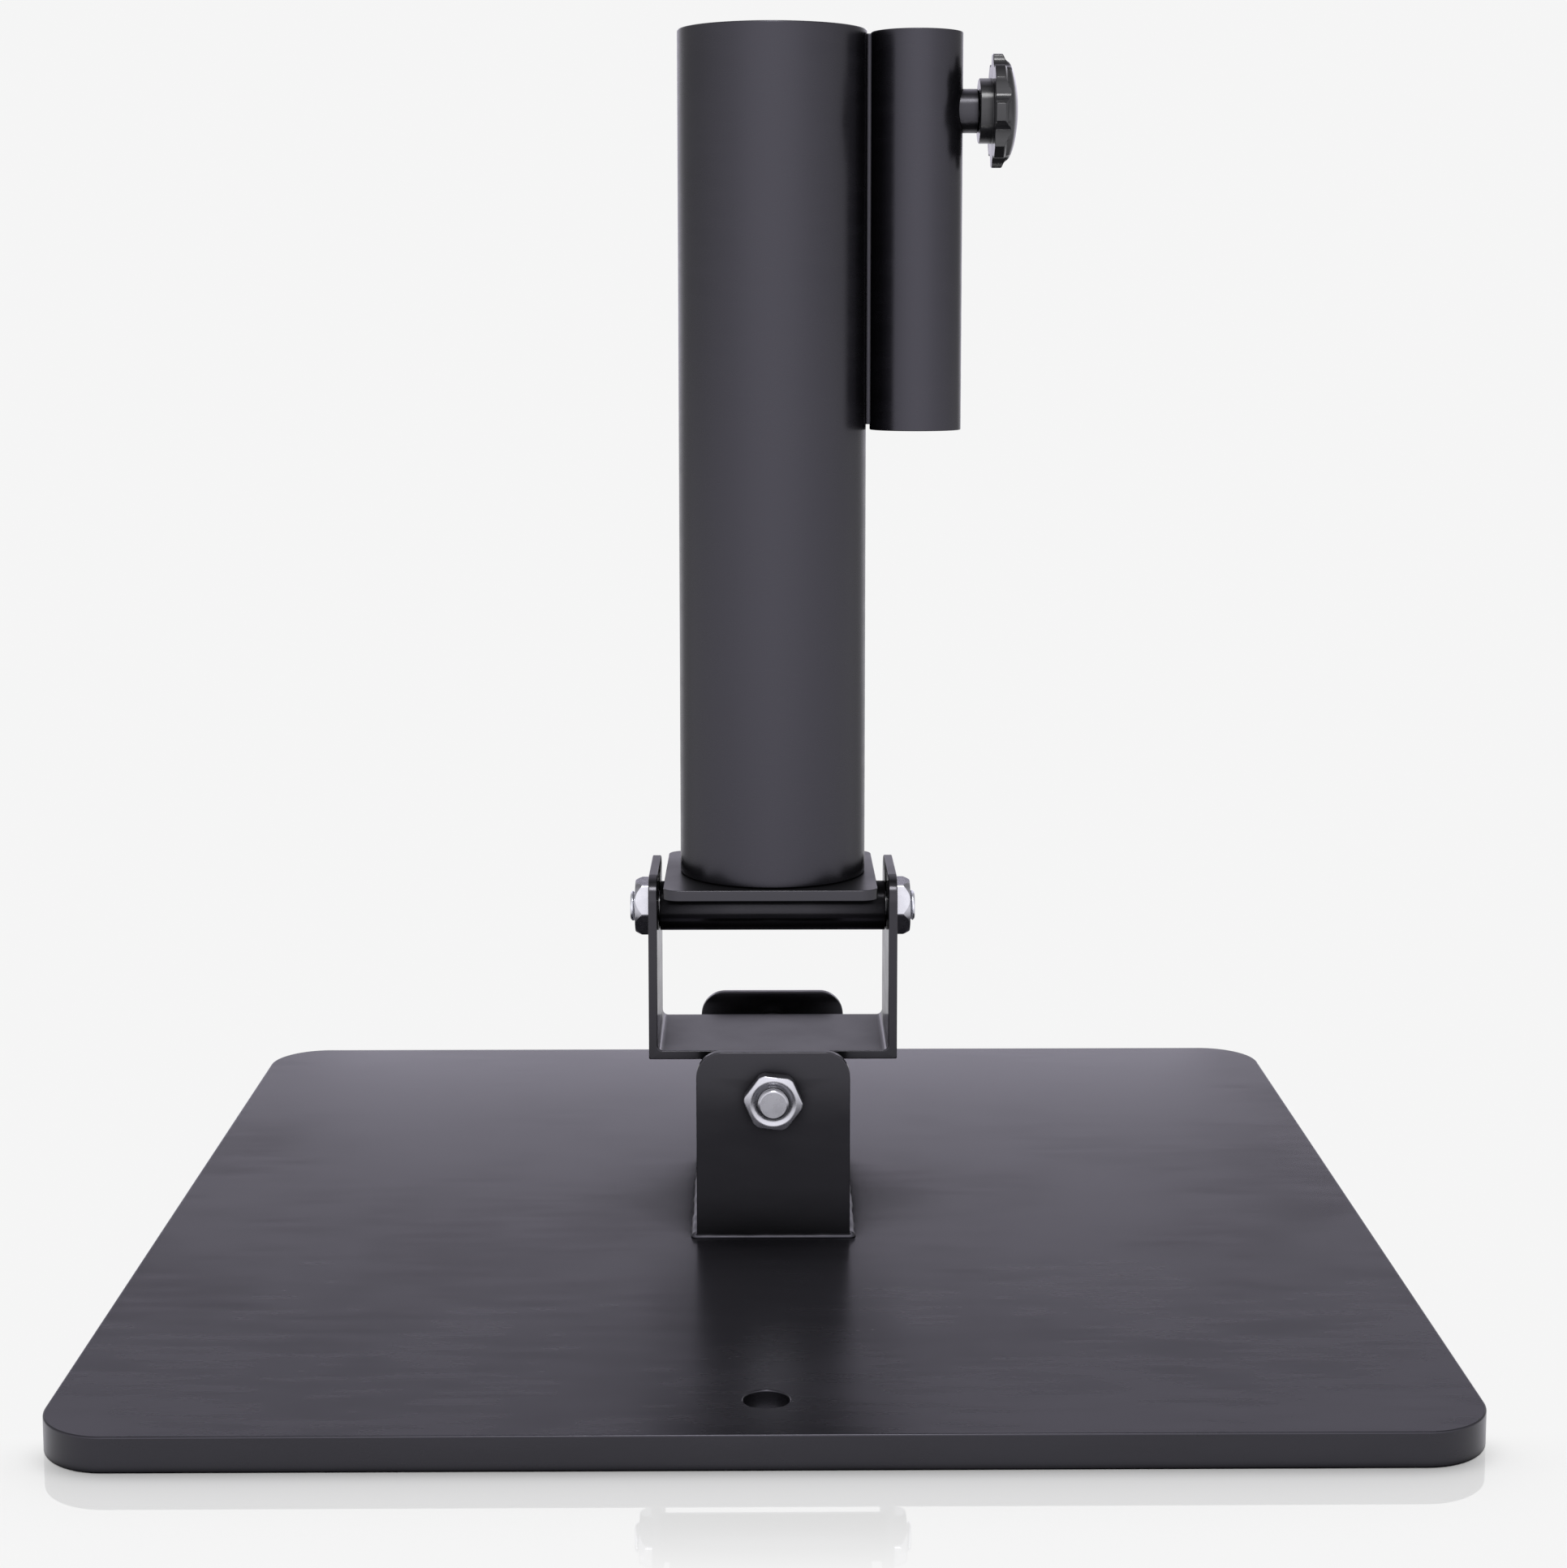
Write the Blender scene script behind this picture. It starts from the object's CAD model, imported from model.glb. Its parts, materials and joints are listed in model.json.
"""Barbell pivot attachment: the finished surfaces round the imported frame.

A square floor plate carries a bracket, a yoke swings sideways in the bracket, and a bar tube
with a clamped side tube tilts in the yoke. Metres, +Z up, +X to the right, +Y away from the
camera. Each piece stands for one node of the frame. Its place and overall size come from that
node's box, and the sizes that a box doesn't show are fields of the class that builds it.
"""

import json
import logging
import math
from dataclasses import dataclass, field, replace
from enum import Enum
from typing import Sequence

import bmesh
import bpy
import numpy as np
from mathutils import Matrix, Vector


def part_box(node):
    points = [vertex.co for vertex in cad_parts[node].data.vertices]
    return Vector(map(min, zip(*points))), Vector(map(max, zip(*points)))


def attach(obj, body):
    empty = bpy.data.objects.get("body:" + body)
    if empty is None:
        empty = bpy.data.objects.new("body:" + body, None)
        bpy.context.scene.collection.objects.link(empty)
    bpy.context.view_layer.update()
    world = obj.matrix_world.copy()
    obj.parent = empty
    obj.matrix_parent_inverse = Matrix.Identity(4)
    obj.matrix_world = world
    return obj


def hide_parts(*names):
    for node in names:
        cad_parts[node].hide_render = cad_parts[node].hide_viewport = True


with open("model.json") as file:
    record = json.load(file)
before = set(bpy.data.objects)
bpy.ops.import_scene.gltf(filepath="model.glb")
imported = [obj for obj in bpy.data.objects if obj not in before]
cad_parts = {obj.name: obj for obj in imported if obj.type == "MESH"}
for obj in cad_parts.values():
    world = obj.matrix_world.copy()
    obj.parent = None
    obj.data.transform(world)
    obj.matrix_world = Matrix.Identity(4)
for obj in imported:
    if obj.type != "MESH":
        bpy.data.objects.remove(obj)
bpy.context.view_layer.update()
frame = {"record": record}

LOG = logging.getLogger("attachment")

Array = np.ndarray
Colour = tuple[float, float, float]
Range = tuple[float, float]
Levels = tuple[tuple[float, float], ...]

# A millimetre, the lengths and angles that count as nothing, and the most of a side that an arc takes
MM = 0.001
MERGE_DISTANCE = 0.002 * MM
EMPTY_LENGTH = 1e-12
SMALLEST_HALF_ANGLE = 1e-3
SMALLEST_SWEEP = 1e-4
SIDE_SHARE = 0.48

# Ranges of a pattern's levels, and the samples with which open surroundings are felt
FULL: Range = (0.0, 1.0)
CLOUD_LEVELS: Range = (0.35, 0.65)
WIDE_LEVELS: Range = (0.3, 0.7)
OPENNESS_SAMPLES = 8

# Colours and levels of the studio, and the degrees of a half turn
WHITE: Colour = (1.0, 1.0, 1.0)
BLACK: Colour = (0.0, 0.0, 0.0)
STUDIO_TINT: Colour = (1.01, 1.0, 1.05)
BACKGROUND = 0.915
BRIGHTEST = 2.4
HALF_TURN = 180.0


class Axis(Enum):
    """The way a turned shape's height points: the images of its own x, y and z."""

    X = ((0.0, 1.0, 0.0), (0.0, 0.0, 1.0), (1.0, 0.0, 0.0))
    Y = ((1.0, 0.0, 0.0), (0.0, 0.0, 1.0), (0.0, -1.0, 0.0))
    Z = ((1.0, 0.0, 0.0), (0.0, 1.0, 0.0), (0.0, 0.0, 1.0))


class Slot(Enum):
    """The record's finishes."""

    BLACK_COAT = "black_coat"
    WELD_COAT = "weld_coat"
    ZINC = "zinc"
    KNOB_PLASTIC = "knob_plastic"


@dataclass(frozen=True)
class NodeBox:
    """The box that a node of the frame fills.

    Args:
        node: The node's name.
    """

    node: str

    @property
    def low(self) -> Array:
        """The lowest corner."""
        return np.array(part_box(self.node)[0])

    @property
    def high(self) -> Array:
        """The highest corner."""
        return np.array(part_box(self.node)[1])

    @property
    def centre(self) -> Array:
        """The middle of the box."""
        return (self.low + self.high) / 2

    @property
    def size(self) -> Array:
        """The box's width, depth and height."""
        return self.high - self.low


def unit(vectors: Array) -> Array:
    """Vectors shortened to length one, with empty vectors left empty."""
    length = np.linalg.norm(vectors, axis=-1, keepdims=True)
    return vectors / np.maximum(length, EMPTY_LENGTH)


def round_corners(profile: Array, radii: Sequence[float], steps: int = 4) -> Array:
    """Replaces every corner of closed profiles by a true arc.

    With a and b the directions to the neighbouring corners and h half the angle between them,
    an arc of radius r touches both sides at r / tan(h) from the corner, and its centre lies
    r / sin(h) away along a + b. A radius is limited so that arcs share a side without crossing.

    Args:
        profile: Corners with shape (..., corners, 2).
        radii: One radius for each corner.
        steps: Facets of each arc.

    Returns:
        Points with shape (..., corners * (steps + 1), 2).
    """
    before = np.roll(profile, 1, axis=-2) - profile
    after = np.roll(profile, -1, axis=-2) - profile
    a, b = unit(before), unit(after)
    half = 0.5 * np.arccos(np.clip(np.sum(a * b, axis=-1, keepdims=True), -1.0, 1.0))
    half = np.maximum(half, SMALLEST_HALF_ANGLE)
    room = SIDE_SHARE * np.minimum(
        np.linalg.norm(before, axis=-1, keepdims=True), np.linalg.norm(after, axis=-1, keepdims=True)
    )
    tangent = np.minimum(np.array(radii)[:, None] / np.tan(half), room)
    radius = tangent * np.tan(half)
    centre = profile + unit(a + b) * radius / np.sin(half)
    first, last = profile + a * tangent - centre, profile + b * tangent - centre
    sweep = np.maximum(np.pi - 2 * half, SMALLEST_SWEEP)[..., None, :]
    share = np.linspace(0.0, 1.0, steps + 1)[:, None]
    from_first = np.sin((1 - share) * sweep) * first[..., None, :]
    from_last = np.sin(share * sweep) * last[..., None, :]
    points = centre[..., None, :] + (from_first + from_last) / np.sin(sweep)
    return points.reshape(*profile.shape[:-2], -1, 2)


def smooth_least(first: Array, second: Array | float, blend: float) -> Array:
    """The smaller of two values, eased over a blend length: (a + b - sqrt((a - b)^2 + e^2)) / 2."""
    return (first + second - np.sqrt((first - second) ** 2 + blend**2)) / 2


def circle(segments: int) -> Array:
    """Angles that divide a full turn evenly."""
    return np.linspace(0.0, 2 * np.pi, segments, endpoint=False)


def revolve(radius: Array, height: Array, angle: Array, centre: Array, axis: Axis) -> Array:
    """Points at a radius and a height round an axis.

    Args:
        radius: Distances from the axis, with profile steps in rows and angles in columns.
        height: Places along the axis, laid out alike.
        angle: The columns' angles.
        centre: Where the axis has height zero.
        axis: The way the height points.

    Returns:
        Points with shape (rows, columns, 3).
    """
    radius, height, angle = np.broadcast_arrays(radius, height, angle)
    local = np.stack([radius * np.cos(angle), radius * np.sin(angle), height], axis=-1)
    return centre + local @ np.array(axis.value)


def rounded_rectangle(
    width: float, depth: float, radius: float, corner_steps: int, side_steps: int
) -> tuple[Array, Array]:
    """The outline of a rectangle with arcs for corners, counter-clockwise.

    Each corner's points are its centre plus the radius along the normal, and the side that
    follows is divided evenly.

    Args:
        width: Size along the first direction.
        depth: Size along the second direction.
        radius: Radius of the corners.
        corner_steps: Facets of a corner.
        side_steps: Facets of a side.

    Returns:
        Points and outward normals, each with shape (points, 2).
    """
    angle = np.linspace(0.0, np.pi / 2, corner_steps + 1) + np.arange(4)[:, None] * np.pi / 2
    normal = np.stack([np.cos(angle), np.sin(angle)], axis=-1)
    corner = np.array([[1, 1], [-1, 1], [-1, -1], [1, -1]]) * (np.array([width, depth]) / 2 - radius)
    arc = corner[:, None, :] + radius * normal
    share = np.linspace(0.0, 1.0, side_steps + 1)[1:-1, None]
    end, start = arc[:, -1:, :], np.roll(arc, -1, axis=0)[:, :1, :]
    side = end + share * (start - end)
    side_normal = np.repeat(normal[:, -1:, :], side_steps - 1, axis=1)
    points = np.concatenate([arc, side], axis=1).reshape(-1, 2)
    return points, np.concatenate([normal, side_normal], axis=1).reshape(-1, 2)


def waves(along: Array, lengths: Sequence[float], phase: float) -> Array:
    """A gentle unevenness between -1 and 1: the mean of sines of a few wavelengths."""
    sines = [np.sin(2 * np.pi * along / length + phase * order) for order, length in enumerate(lengths, 1)]
    return np.mean(sines, axis=0)


@dataclass
class Skin:
    """A closed surface gathered from grids of points.

    Args:
        name: The mesh's name.
        points: Points of the grids added so far.
        quads: Corner numbers of their faces.
    """

    name: str
    points: list[Array] = field(default_factory=list)
    quads: list[Array] = field(default_factory=list)

    def add(self, grid: Array, wrap_rows: bool = False, wrap_columns: bool = False) -> "Skin":
        """Adds a grid's faces, each between two neighbouring rows and two neighbouring columns.

        Args:
            grid: Points with shape (rows, columns, 3).
            wrap_rows: Whether the last row joins the first.
            wrap_columns: Whether the last column joins the first.

        Returns:
            This skin.
        """
        rows, columns = grid.shape[:2]
        row, column = np.meshgrid(
            np.arange(rows if wrap_rows else rows - 1),
            np.arange(columns if wrap_columns else columns - 1), indexing="ij",
        )
        next_row, next_column = (row + 1) % rows, (column + 1) % columns
        corners = [
            row * columns + column, row * columns + next_column,
            next_row * columns + next_column, next_row * columns + column,
        ]
        start = sum(len(points) for points in self.points)
        self.quads.append(np.stack(corners, axis=-1).reshape(-1, 4) + start)
        self.points.append(grid.reshape(-1, 3))
        return self

    def mesh(self) -> bpy.types.Mesh:
        """Joins the grids into one mesh whose doubles are merged and whose faces point outwards.

        Returns:
            The mesh.
        """
        points = np.concatenate(self.points)
        mesh = bpy.data.meshes.new(self.name)
        mesh.from_pydata(points.tolist(), [], np.concatenate(self.quads).tolist())
        shape = bmesh.new()
        shape.from_mesh(mesh)
        bmesh.ops.remove_doubles(shape, verts=shape.verts, dist=MERGE_DISTANCE)
        bmesh.ops.dissolve_degenerate(shape, dist=MERGE_DISTANCE / 2, edges=shape.edges)
        bmesh.ops.recalc_face_normals(shape, faces=shape.faces)
        shape.to_mesh(mesh)
        shape.free()
        return mesh


def closed_ring(name: str, grid: Array) -> bpy.types.Mesh:
    """A mesh of one grid whose rows and columns both run full circle."""
    return Skin(name).add(grid, wrap_rows=True, wrap_columns=True).mesh()


def eased_profiles(radii: Sequence[Array], heights: Sequence[Array], edges: Sequence[float]) -> Array:
    """Profiles with shape (steps, angles, 2), their corners eased by arcs of the edges' radii."""
    corners = np.stack([np.stack(radii, axis=-1), np.stack(heights, axis=-1)], axis=-1)
    return round_corners(corners, edges).transpose(1, 0, 2)


def cut(mesh: bpy.types.Mesh, cutter: bpy.types.Mesh) -> bpy.types.Mesh:
    """A mesh with a hole where another solid stood.

    Args:
        mesh: The solid that keeps its shape outside the cutter.
        cutter: The solid that is taken away.

    Returns:
        The cut mesh.
    """
    scene = bpy.context.scene
    body, tool = bpy.data.objects.new("blank", mesh), bpy.data.objects.new("cutter", cutter)
    for item in (body, tool):
        scene.collection.objects.link(item)
    modifier = body.modifiers.new("hole", "BOOLEAN")
    modifier.operation = "DIFFERENCE"
    modifier.solver = "EXACT"
    modifier.object = tool
    evaluated = body.evaluated_get(bpy.context.evaluated_depsgraph_get())
    result = bpy.data.meshes.new_from_object(evaluated)
    result.name = mesh.name
    for item in (body, tool):
        bpy.data.objects.remove(item)
    return result


def shade_by_area(mesh: bpy.types.Mesh) -> None:
    """Smooth shading whose normals lean on the largest faces, so that flat faces stay flat.

    Each vertex normal is the sum of its faces' normals, weighted by their areas.

    Args:
        mesh: The mesh to shade.
    """
    faces, loops = len(mesh.polygons), len(mesh.loops)
    normal, area, total = np.zeros(faces * 3), np.zeros(faces), np.zeros(faces, np.int32)
    corner = np.zeros(loops, np.int32)
    mesh.polygons.foreach_get("normal", normal)
    mesh.polygons.foreach_get("area", area)
    mesh.polygons.foreach_get("loop_total", total)
    mesh.loops.foreach_get("vertex_index", corner)
    weighted = np.repeat(normal.reshape(-1, 3) * area[:, None], total, axis=0)
    summed = np.zeros((len(mesh.vertices), 3))
    np.add.at(summed, corner, weighted)
    mesh.polygons.foreach_set("use_smooth", np.ones(faces, bool))
    mesh.normals_split_custom_set_from_vertices(unit(summed).tolist())


class NodeSheet:
    """A node tree that is being written.

    Args:
        tree: The tree, which is emptied.
    """

    def __init__(self, tree: bpy.types.NodeTree) -> None:
        """Empties the tree."""
        self.tree = tree
        tree.nodes.clear()

    def add(self, kind: str, inputs: dict | None = None, **settings: object) -> bpy.types.Node:
        """Adds a node.

        Args:
            kind: The node's type without its ShaderNode prefix.
            inputs: Sockets by name or number, each with a value or another node's output.
            **settings: The node's own properties.

        Returns:
            The node.
        """
        node = self.tree.nodes.new("ShaderNode" + kind)
        for key, value in settings.items():
            setattr(node, key, value)
        for key, value in (inputs or {}).items():
            if isinstance(value, bpy.types.NodeSocket):
                self.tree.links.new(value, node.inputs[key])
            else:
                node.inputs[key].default_value = value
        return node

    def math(self, operation: str, *values: object) -> bpy.types.NodeSocket:
        """The result of a Math node on up to three values or outputs."""
        return self.add("Math", dict(enumerate(values)), operation=operation).outputs[0]

    def vector(self, operation: str, *values: object) -> bpy.types.NodeSocket:
        """The vector that a Vector Math node makes of up to two vectors."""
        return self.add("VectorMath", dict(enumerate(values)), operation=operation).outputs[0]

    def length(self, vector: bpy.types.NodeSocket) -> bpy.types.NodeSocket:
        """The length of a vector."""
        return self.add("VectorMath", {0: vector}, operation="LENGTH").outputs["Value"]

    def span(self, value: object, source: Range, target: Range = FULL) -> bpy.types.NodeSocket:
        """A value carried smoothly from one range to another and held at its ends."""
        limits = dict(enumerate(source + target, start=1))
        return self.add("MapRange", {0: value, **limits}, interpolation_type="SMOOTHSTEP").outputs[0]

    def curve(self, value: object, levels: Levels, end: float, limit: float) -> bpy.types.NodeSocket:
        """A level looked up along a smooth curve.

        Args:
            value: Where on the curve, from 0 to its end.
            levels: Places and their levels, in order.
            end: The last place.
            limit: A level that none of them exceeds.

        Returns:
            The level.
        """
        node = self.add("FloatCurve", {"Value": self.math("DIVIDE", value, end)})
        points = node.mapping.curves[0].points
        for place, level in levels[1:-1]:
            points.new(place / end, level / limit)
        points[0].location = (0.0, levels[0][1] / limit)
        points[len(points) - 1].location = (1.0, levels[-1][1] / limit)
        for point in points:
            point.handle_type = "AUTO_CLAMPED"
        node.mapping.update()
        return self.math("MULTIPLY", node.outputs[0], limit)

    def between(self, share: object, first: object, second: object) -> bpy.types.NodeSocket:
        """A value between two values."""
        return self.add("Mix", {0: share, 2: first, 3: second}, data_type="FLOAT").outputs[0]

    def openness(self, reach: object, source: Range, target: Range = FULL) -> bpy.types.NodeSocket:
        """A value carried from shares of open surroundings, which neighbours within a reach close."""
        node = self.add("AmbientOcclusion", {"Distance": reach}, samples=OPENNESS_SAMPLES)
        return self.span(node.outputs["AO"], source, target)

    def noise(self, place: object, scale: float, detail: float = 3.0) -> bpy.types.NodeSocket:
        """Noise with a number of cells in a metre."""
        node = self.add("TexNoise", {"Vector": place, "Scale": scale, "Detail": detail})
        return node.outputs[0]

    def stretched(self, place: object, scale: tuple[float, float, float]) -> bpy.types.NodeSocket:
        """Places scaled by their own factor along each axis."""
        return self.add("Mapping", {"Vector": place, "Scale": scale}).outputs[0]

    def mixed(self, share: object, first: object, second: object) -> bpy.types.NodeSocket:
        """A colour between two colours, whose sockets are the Mix node's seventh and eighth."""
        return self.add("Mix", {0: share, 6: first, 7: second}, data_type="RGBA").outputs[2]


def solid(colour: Colour) -> tuple[float, float, float, float]:
    """A colour with full cover."""
    return (*colour, 1.0)


@dataclass(frozen=True)
class Finish:
    """A finish: what every material of the attachment shares.

    Args:
        name: The material's name.
        slot: The record's slot.
        colour: The colour under the gloss.
        roughness: The mean roughness.
    """

    name: str
    slot: Slot
    colour: Colour
    roughness: float

    def material(self) -> bpy.types.Material:
        """The material, made once."""
        return bpy.data.materials.get(self.name) or self.make()

    def make(self) -> bpy.types.Material:
        """Builds the material.

        Returns:
            The new material.
        """
        material = bpy.data.materials.new(self.name)
        material.use_nodes = True
        sheet = NodeSheet(material.node_tree)
        place = sheet.add("TexCoord").outputs["Object"]
        shader = self.shader(sheet, place)
        sheet.add("OutputMaterial", {"Surface": shader.outputs[0]})
        return material

    def shader(self, sheet: NodeSheet, place: bpy.types.NodeSocket) -> bpy.types.Node:
        """Each finish writes its own shader."""
        raise NotImplementedError

    def toned(self, sheet: NodeSheet, pattern: bpy.types.NodeSocket, levels: Range,
              factor: float) -> bpy.types.NodeSocket:
        """The finish's colour, darker and lighter with a pattern.

        Args:
            sheet: The material's tree.
            pattern: The pattern's level.
            levels: The levels at which the colour is darkest and lightest.
            factor: How many times darker and lighter it is there.

        Returns:
            The colour.
        """
        darker = solid(tuple(value / factor for value in self.colour))
        lighter = solid(tuple(value * factor for value in self.colour))
        return sheet.mixed(sheet.span(pattern, levels), darker, lighter)

    def relief(self, sheet: NodeSheet, height: bpy.types.NodeSocket, depth: float) -> bpy.types.NodeSocket:
        """The surface's direction where a pattern raises it by up to a depth."""
        bump = sheet.add("Bump", {"Height": height, "Strength": 1.0, "Distance": depth})
        return bump.outputs[0]


@dataclass(frozen=True)
class PowderCoat(Finish):
    """Satin powder coat with drawn-out smudges, faint clouds and a fine orange peel.

    Args:
        smudges: Cells in a metre along x, y and z, few along the smudges.
        unevenness: How far smudges and clouds raise and lower the roughness.
        cloud_cells: Clouds in a metre.
        peel: Height of the orange peel.
        peel_cells: Cells of the orange peel in a metre.
        tint: Colour of the gloss.
        corner_reach: How far from a neighbour the coat lies thin and dull.
        top_reach: The same distance on faces that look up.
        open_range: Shares of open surroundings with no gloss and with all of it.
        dust: How much the roughness grows on faces that look up.
        forward_gain: How much the roughness grows from the middle to the front end.
        forward_reach: Distance of the front end from the middle.
        levels: Levels of smudges and clouds at which they count in full.
        upward: How far up a face looks, from where it counts a little to where it counts in full.
        tone: How many times darker and lighter the smudges are.
        smudge_height: Height of the smudges as a share of the orange peel's.
        ior: Refractive index of the coat.
        gloss: Specular level in open surroundings.
    """

    smudges: tuple[float, float, float] = (30.0, 200.0, 200.0)
    unevenness: float = 0.026
    cloud_cells: float = 14.0
    peel: float = 0.004 * MM
    peel_cells: float = 900.0
    tint: Colour = (0.885, 0.86, 1.0)
    corner_reach: float = 10.0 * MM
    top_reach: float = 10.0 * MM
    open_range: Range = (0.3, 0.95)
    dust: float = 0.0
    forward_gain: float = 0.0
    forward_reach: float = 187.0 * MM
    levels: Range = (0.36, 0.64)
    upward: Range = (0.75, 0.98)
    tone: float = 1.2
    smudge_height: float = 0.3
    ior: float = 1.54
    gloss: float = 0.5

    def shader(self, sheet: NodeSheet, place: bpy.types.NodeSocket) -> bpy.types.Node:
        """The coat's colour, roughness and relief all follow the same smudges.

        Args:
            sheet: The material's tree.
            place: Object coordinates.

        Returns:
            The shader node.
        """
        smudges = sheet.noise(sheet.stretched(place, self.smudges), 1.0, 4.0)
        clouds = sheet.noise(place, self.cloud_cells, 3.0)
        peel = sheet.noise(place, self.peel_cells, 2.0)
        uneven = sheet.between(0.5, smudges, clouds)
        share = sheet.span(uneven, self.levels, (-1.0, 1.0))
        roughness = sheet.math("MULTIPLY_ADD", share, self.unevenness, self.roughness)
        normal = sheet.add("TexCoord").outputs["Normal"]
        top = sheet.span(sheet.add("SeparateXYZ", {0: normal}).outputs[2], self.upward)
        roughness = sheet.math("MULTIPLY_ADD", top, self.dust, roughness)
        reach = sheet.between(top, self.corner_reach, self.top_reach)
        if self.forward_gain:
            forward = sheet.add("SeparateXYZ", {0: place}).outputs[1]
            slope = -self.forward_gain / self.forward_reach
            roughness = sheet.math("MULTIPLY_ADD", forward, slope, roughness)
        height = sheet.math("MULTIPLY_ADD", smudges, self.smudge_height, peel)
        return sheet.add("BsdfPrincipled", {
            "Base Color": self.toned(sheet, uneven, self.levels, self.tone), "Roughness": roughness,
            "IOR": self.ior, "Normal": self.relief(sheet, height, self.peel),
            "Specular Tint": solid(self.tint),
            "Specular IOR Level": sheet.openness(reach, self.open_range, (0.0, self.gloss)),
        })


@dataclass(frozen=True)
class ZincPlate(Finish):
    """Bright zinc with a fine grain and cloudy roughness.

    Args:
        grain_cells: Cells of the grain in a metre.
        grain_depth: Depth of the grain.
        cloud_cells: Clouds in a metre.
        tone: How many times darker and lighter the clouds are.
        unevenness: How far clouds lower and raise the roughness.
        corner_reach: How far from a neighbour the plate lies dull.
        open_range: Shares of open surroundings where it is dull and where it is bright.
        crevice: Colour of the dull plate.
    """

    grain_cells: float = 2600.0
    grain_depth: float = 0.0008 * MM
    cloud_cells: float = 320.0
    tone: float = 1.03
    unevenness: Range = (-0.03, 0.04)
    corner_reach: float = 1.5 * MM
    open_range: Range = (0.35, 0.85)
    crevice: Colour = (0.26, 0.26, 0.27)

    def shader(self, sheet: NodeSheet, place: bpy.types.NodeSocket) -> bpy.types.Node:
        """Metal whose roughness is cloudy and whose surface has a fine grain.

        Args:
            sheet: The material's tree.
            place: Object coordinates.

        Returns:
            The shader node.
        """
        clouds = sheet.noise(place, self.cloud_cells, 3.0)
        grain = sheet.noise(place, self.grain_cells, 2.0)
        bright = self.toned(sheet, clouds, CLOUD_LEVELS, self.tone)
        open_share = sheet.openness(self.corner_reach, self.open_range)
        least, most = (self.roughness + change for change in self.unevenness)
        return sheet.add("BsdfPrincipled", {
            "Base Color": sheet.mixed(open_share, solid(self.crevice), bright), "Metallic": 1.0,
            "Roughness": sheet.span(clouds, WIDE_LEVELS, (least, most)),
            "Normal": self.relief(sheet, grain, self.grain_depth),
        })


@dataclass(frozen=True)
class MouldedPlastic(Finish):
    """Moulded plastic with a fine spark-eroded texture.

    Args:
        texture_cells: Cells of the texture in a metre.
        texture_depth: Depth of the texture.
        cloud_cells: Clouds in a metre.
        tone: How many times darker and lighter the clouds are.
        unevenness: How far clouds lower and raise the roughness.
        corner_reach: How far from a neighbour the gloss is lost.
        open_range: Shares of open surroundings with no gloss and with all of it.
        ior: Refractive index of the plastic.
        gloss: Specular level in open surroundings.
    """

    texture_cells: float = 2200.0
    texture_depth: float = 0.0006 * MM
    cloud_cells: float = 90.0
    tone: float = 1.15
    unevenness: Range = (-0.04, 0.05)
    corner_reach: float = 4.0 * MM
    open_range: Range = (0.3, 0.9)
    ior: float = 1.5
    gloss: float = 0.5

    def shader(self, sheet: NodeSheet, place: bpy.types.NodeSocket) -> bpy.types.Node:
        """A dark body with an even, finely pitted gloss.

        Args:
            sheet: The material's tree.
            place: Object coordinates.

        Returns:
            The shader node.
        """
        pits = sheet.noise(place, self.texture_cells, 3.0)
        clouds = sheet.noise(place, self.cloud_cells, 3.0)
        least, most = (self.roughness + change for change in self.unevenness)
        return sheet.add("BsdfPrincipled", {
            "Base Color": self.toned(sheet, clouds, CLOUD_LEVELS, self.tone),
            "Roughness": sheet.span(clouds, WIDE_LEVELS, (least, most)), "IOR": self.ior,
            "Normal": self.relief(sheet, pits, self.texture_depth),
            "Specular IOR Level": sheet.openness(self.corner_reach, self.open_range, (0.0, self.gloss)),
        })


DEEP_BLACK: Colour = (0.0042, 0.0040, 0.0050)
FRAME_BLACK: Colour = (0.0036, 0.0036, 0.0040)
FRAME_TINT: Colour = (0.92, 0.90, 1.0)

PLATE_COAT = PowderCoat(
    "plate_coat", Slot.BLACK_COAT, DEEP_BLACK, 0.235, corner_reach=2.5 * MM, top_reach=70.0 * MM,
    open_range=(0.45, 0.98), forward_gain=0.045,
)
TUBE_COAT = PowderCoat("tube_coat", Slot.BLACK_COAT, DEEP_BLACK, 0.27, smudges=(40.0, 40.0, 200.0))
FRAME_COAT = PowderCoat(
    "frame_coat", Slot.BLACK_COAT, FRAME_BLACK, 0.18, smudges=(60.0, 60.0, 160.0), tint=FRAME_TINT,
    corner_reach=25.0 * MM, top_reach=25.0 * MM, dust=0.2,
)
YOKE_COAT = replace(FRAME_COAT, name="yoke_coat", tint=(0.74, 0.72, 0.80))
BOSS_COAT = PowderCoat(
    "boss_coat", Slot.BLACK_COAT, FRAME_BLACK, 0.27, smudges=(160.0,) * 3, tint=FRAME_TINT,
    corner_reach=3.0 * MM, top_reach=3.0 * MM,
)
WELD_COAT = PowderCoat(
    "weld_bead_coat", Slot.WELD_COAT, (0.0045, 0.0045, 0.0050), 0.38, smudges=(300.0,) * 3,
    unevenness=0.04, peel=0.0015 * MM, corner_reach=0.25 * MM, top_reach=0.25 * MM,
)
ZINC = ZincPlate("zinc_plate", Slot.ZINC, (0.41, 0.41, 0.435), 0.27)
BRIGHT_ZINC = ZincPlate("bright_zinc_plate", Slot.ZINC, (0.80, 0.81, 0.86), 0.24)
KNOB_PLASTIC = MouldedPlastic("star_knob_plastic", Slot.KNOB_PLASTIC, (0.0130, 0.0128, 0.0145), 0.18)

# The body that each node moves with
BODY_OF = {
    node: body for body, nodes in frame["record"]["behaviour"]["bodies"].items() for node in nodes
}


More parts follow.
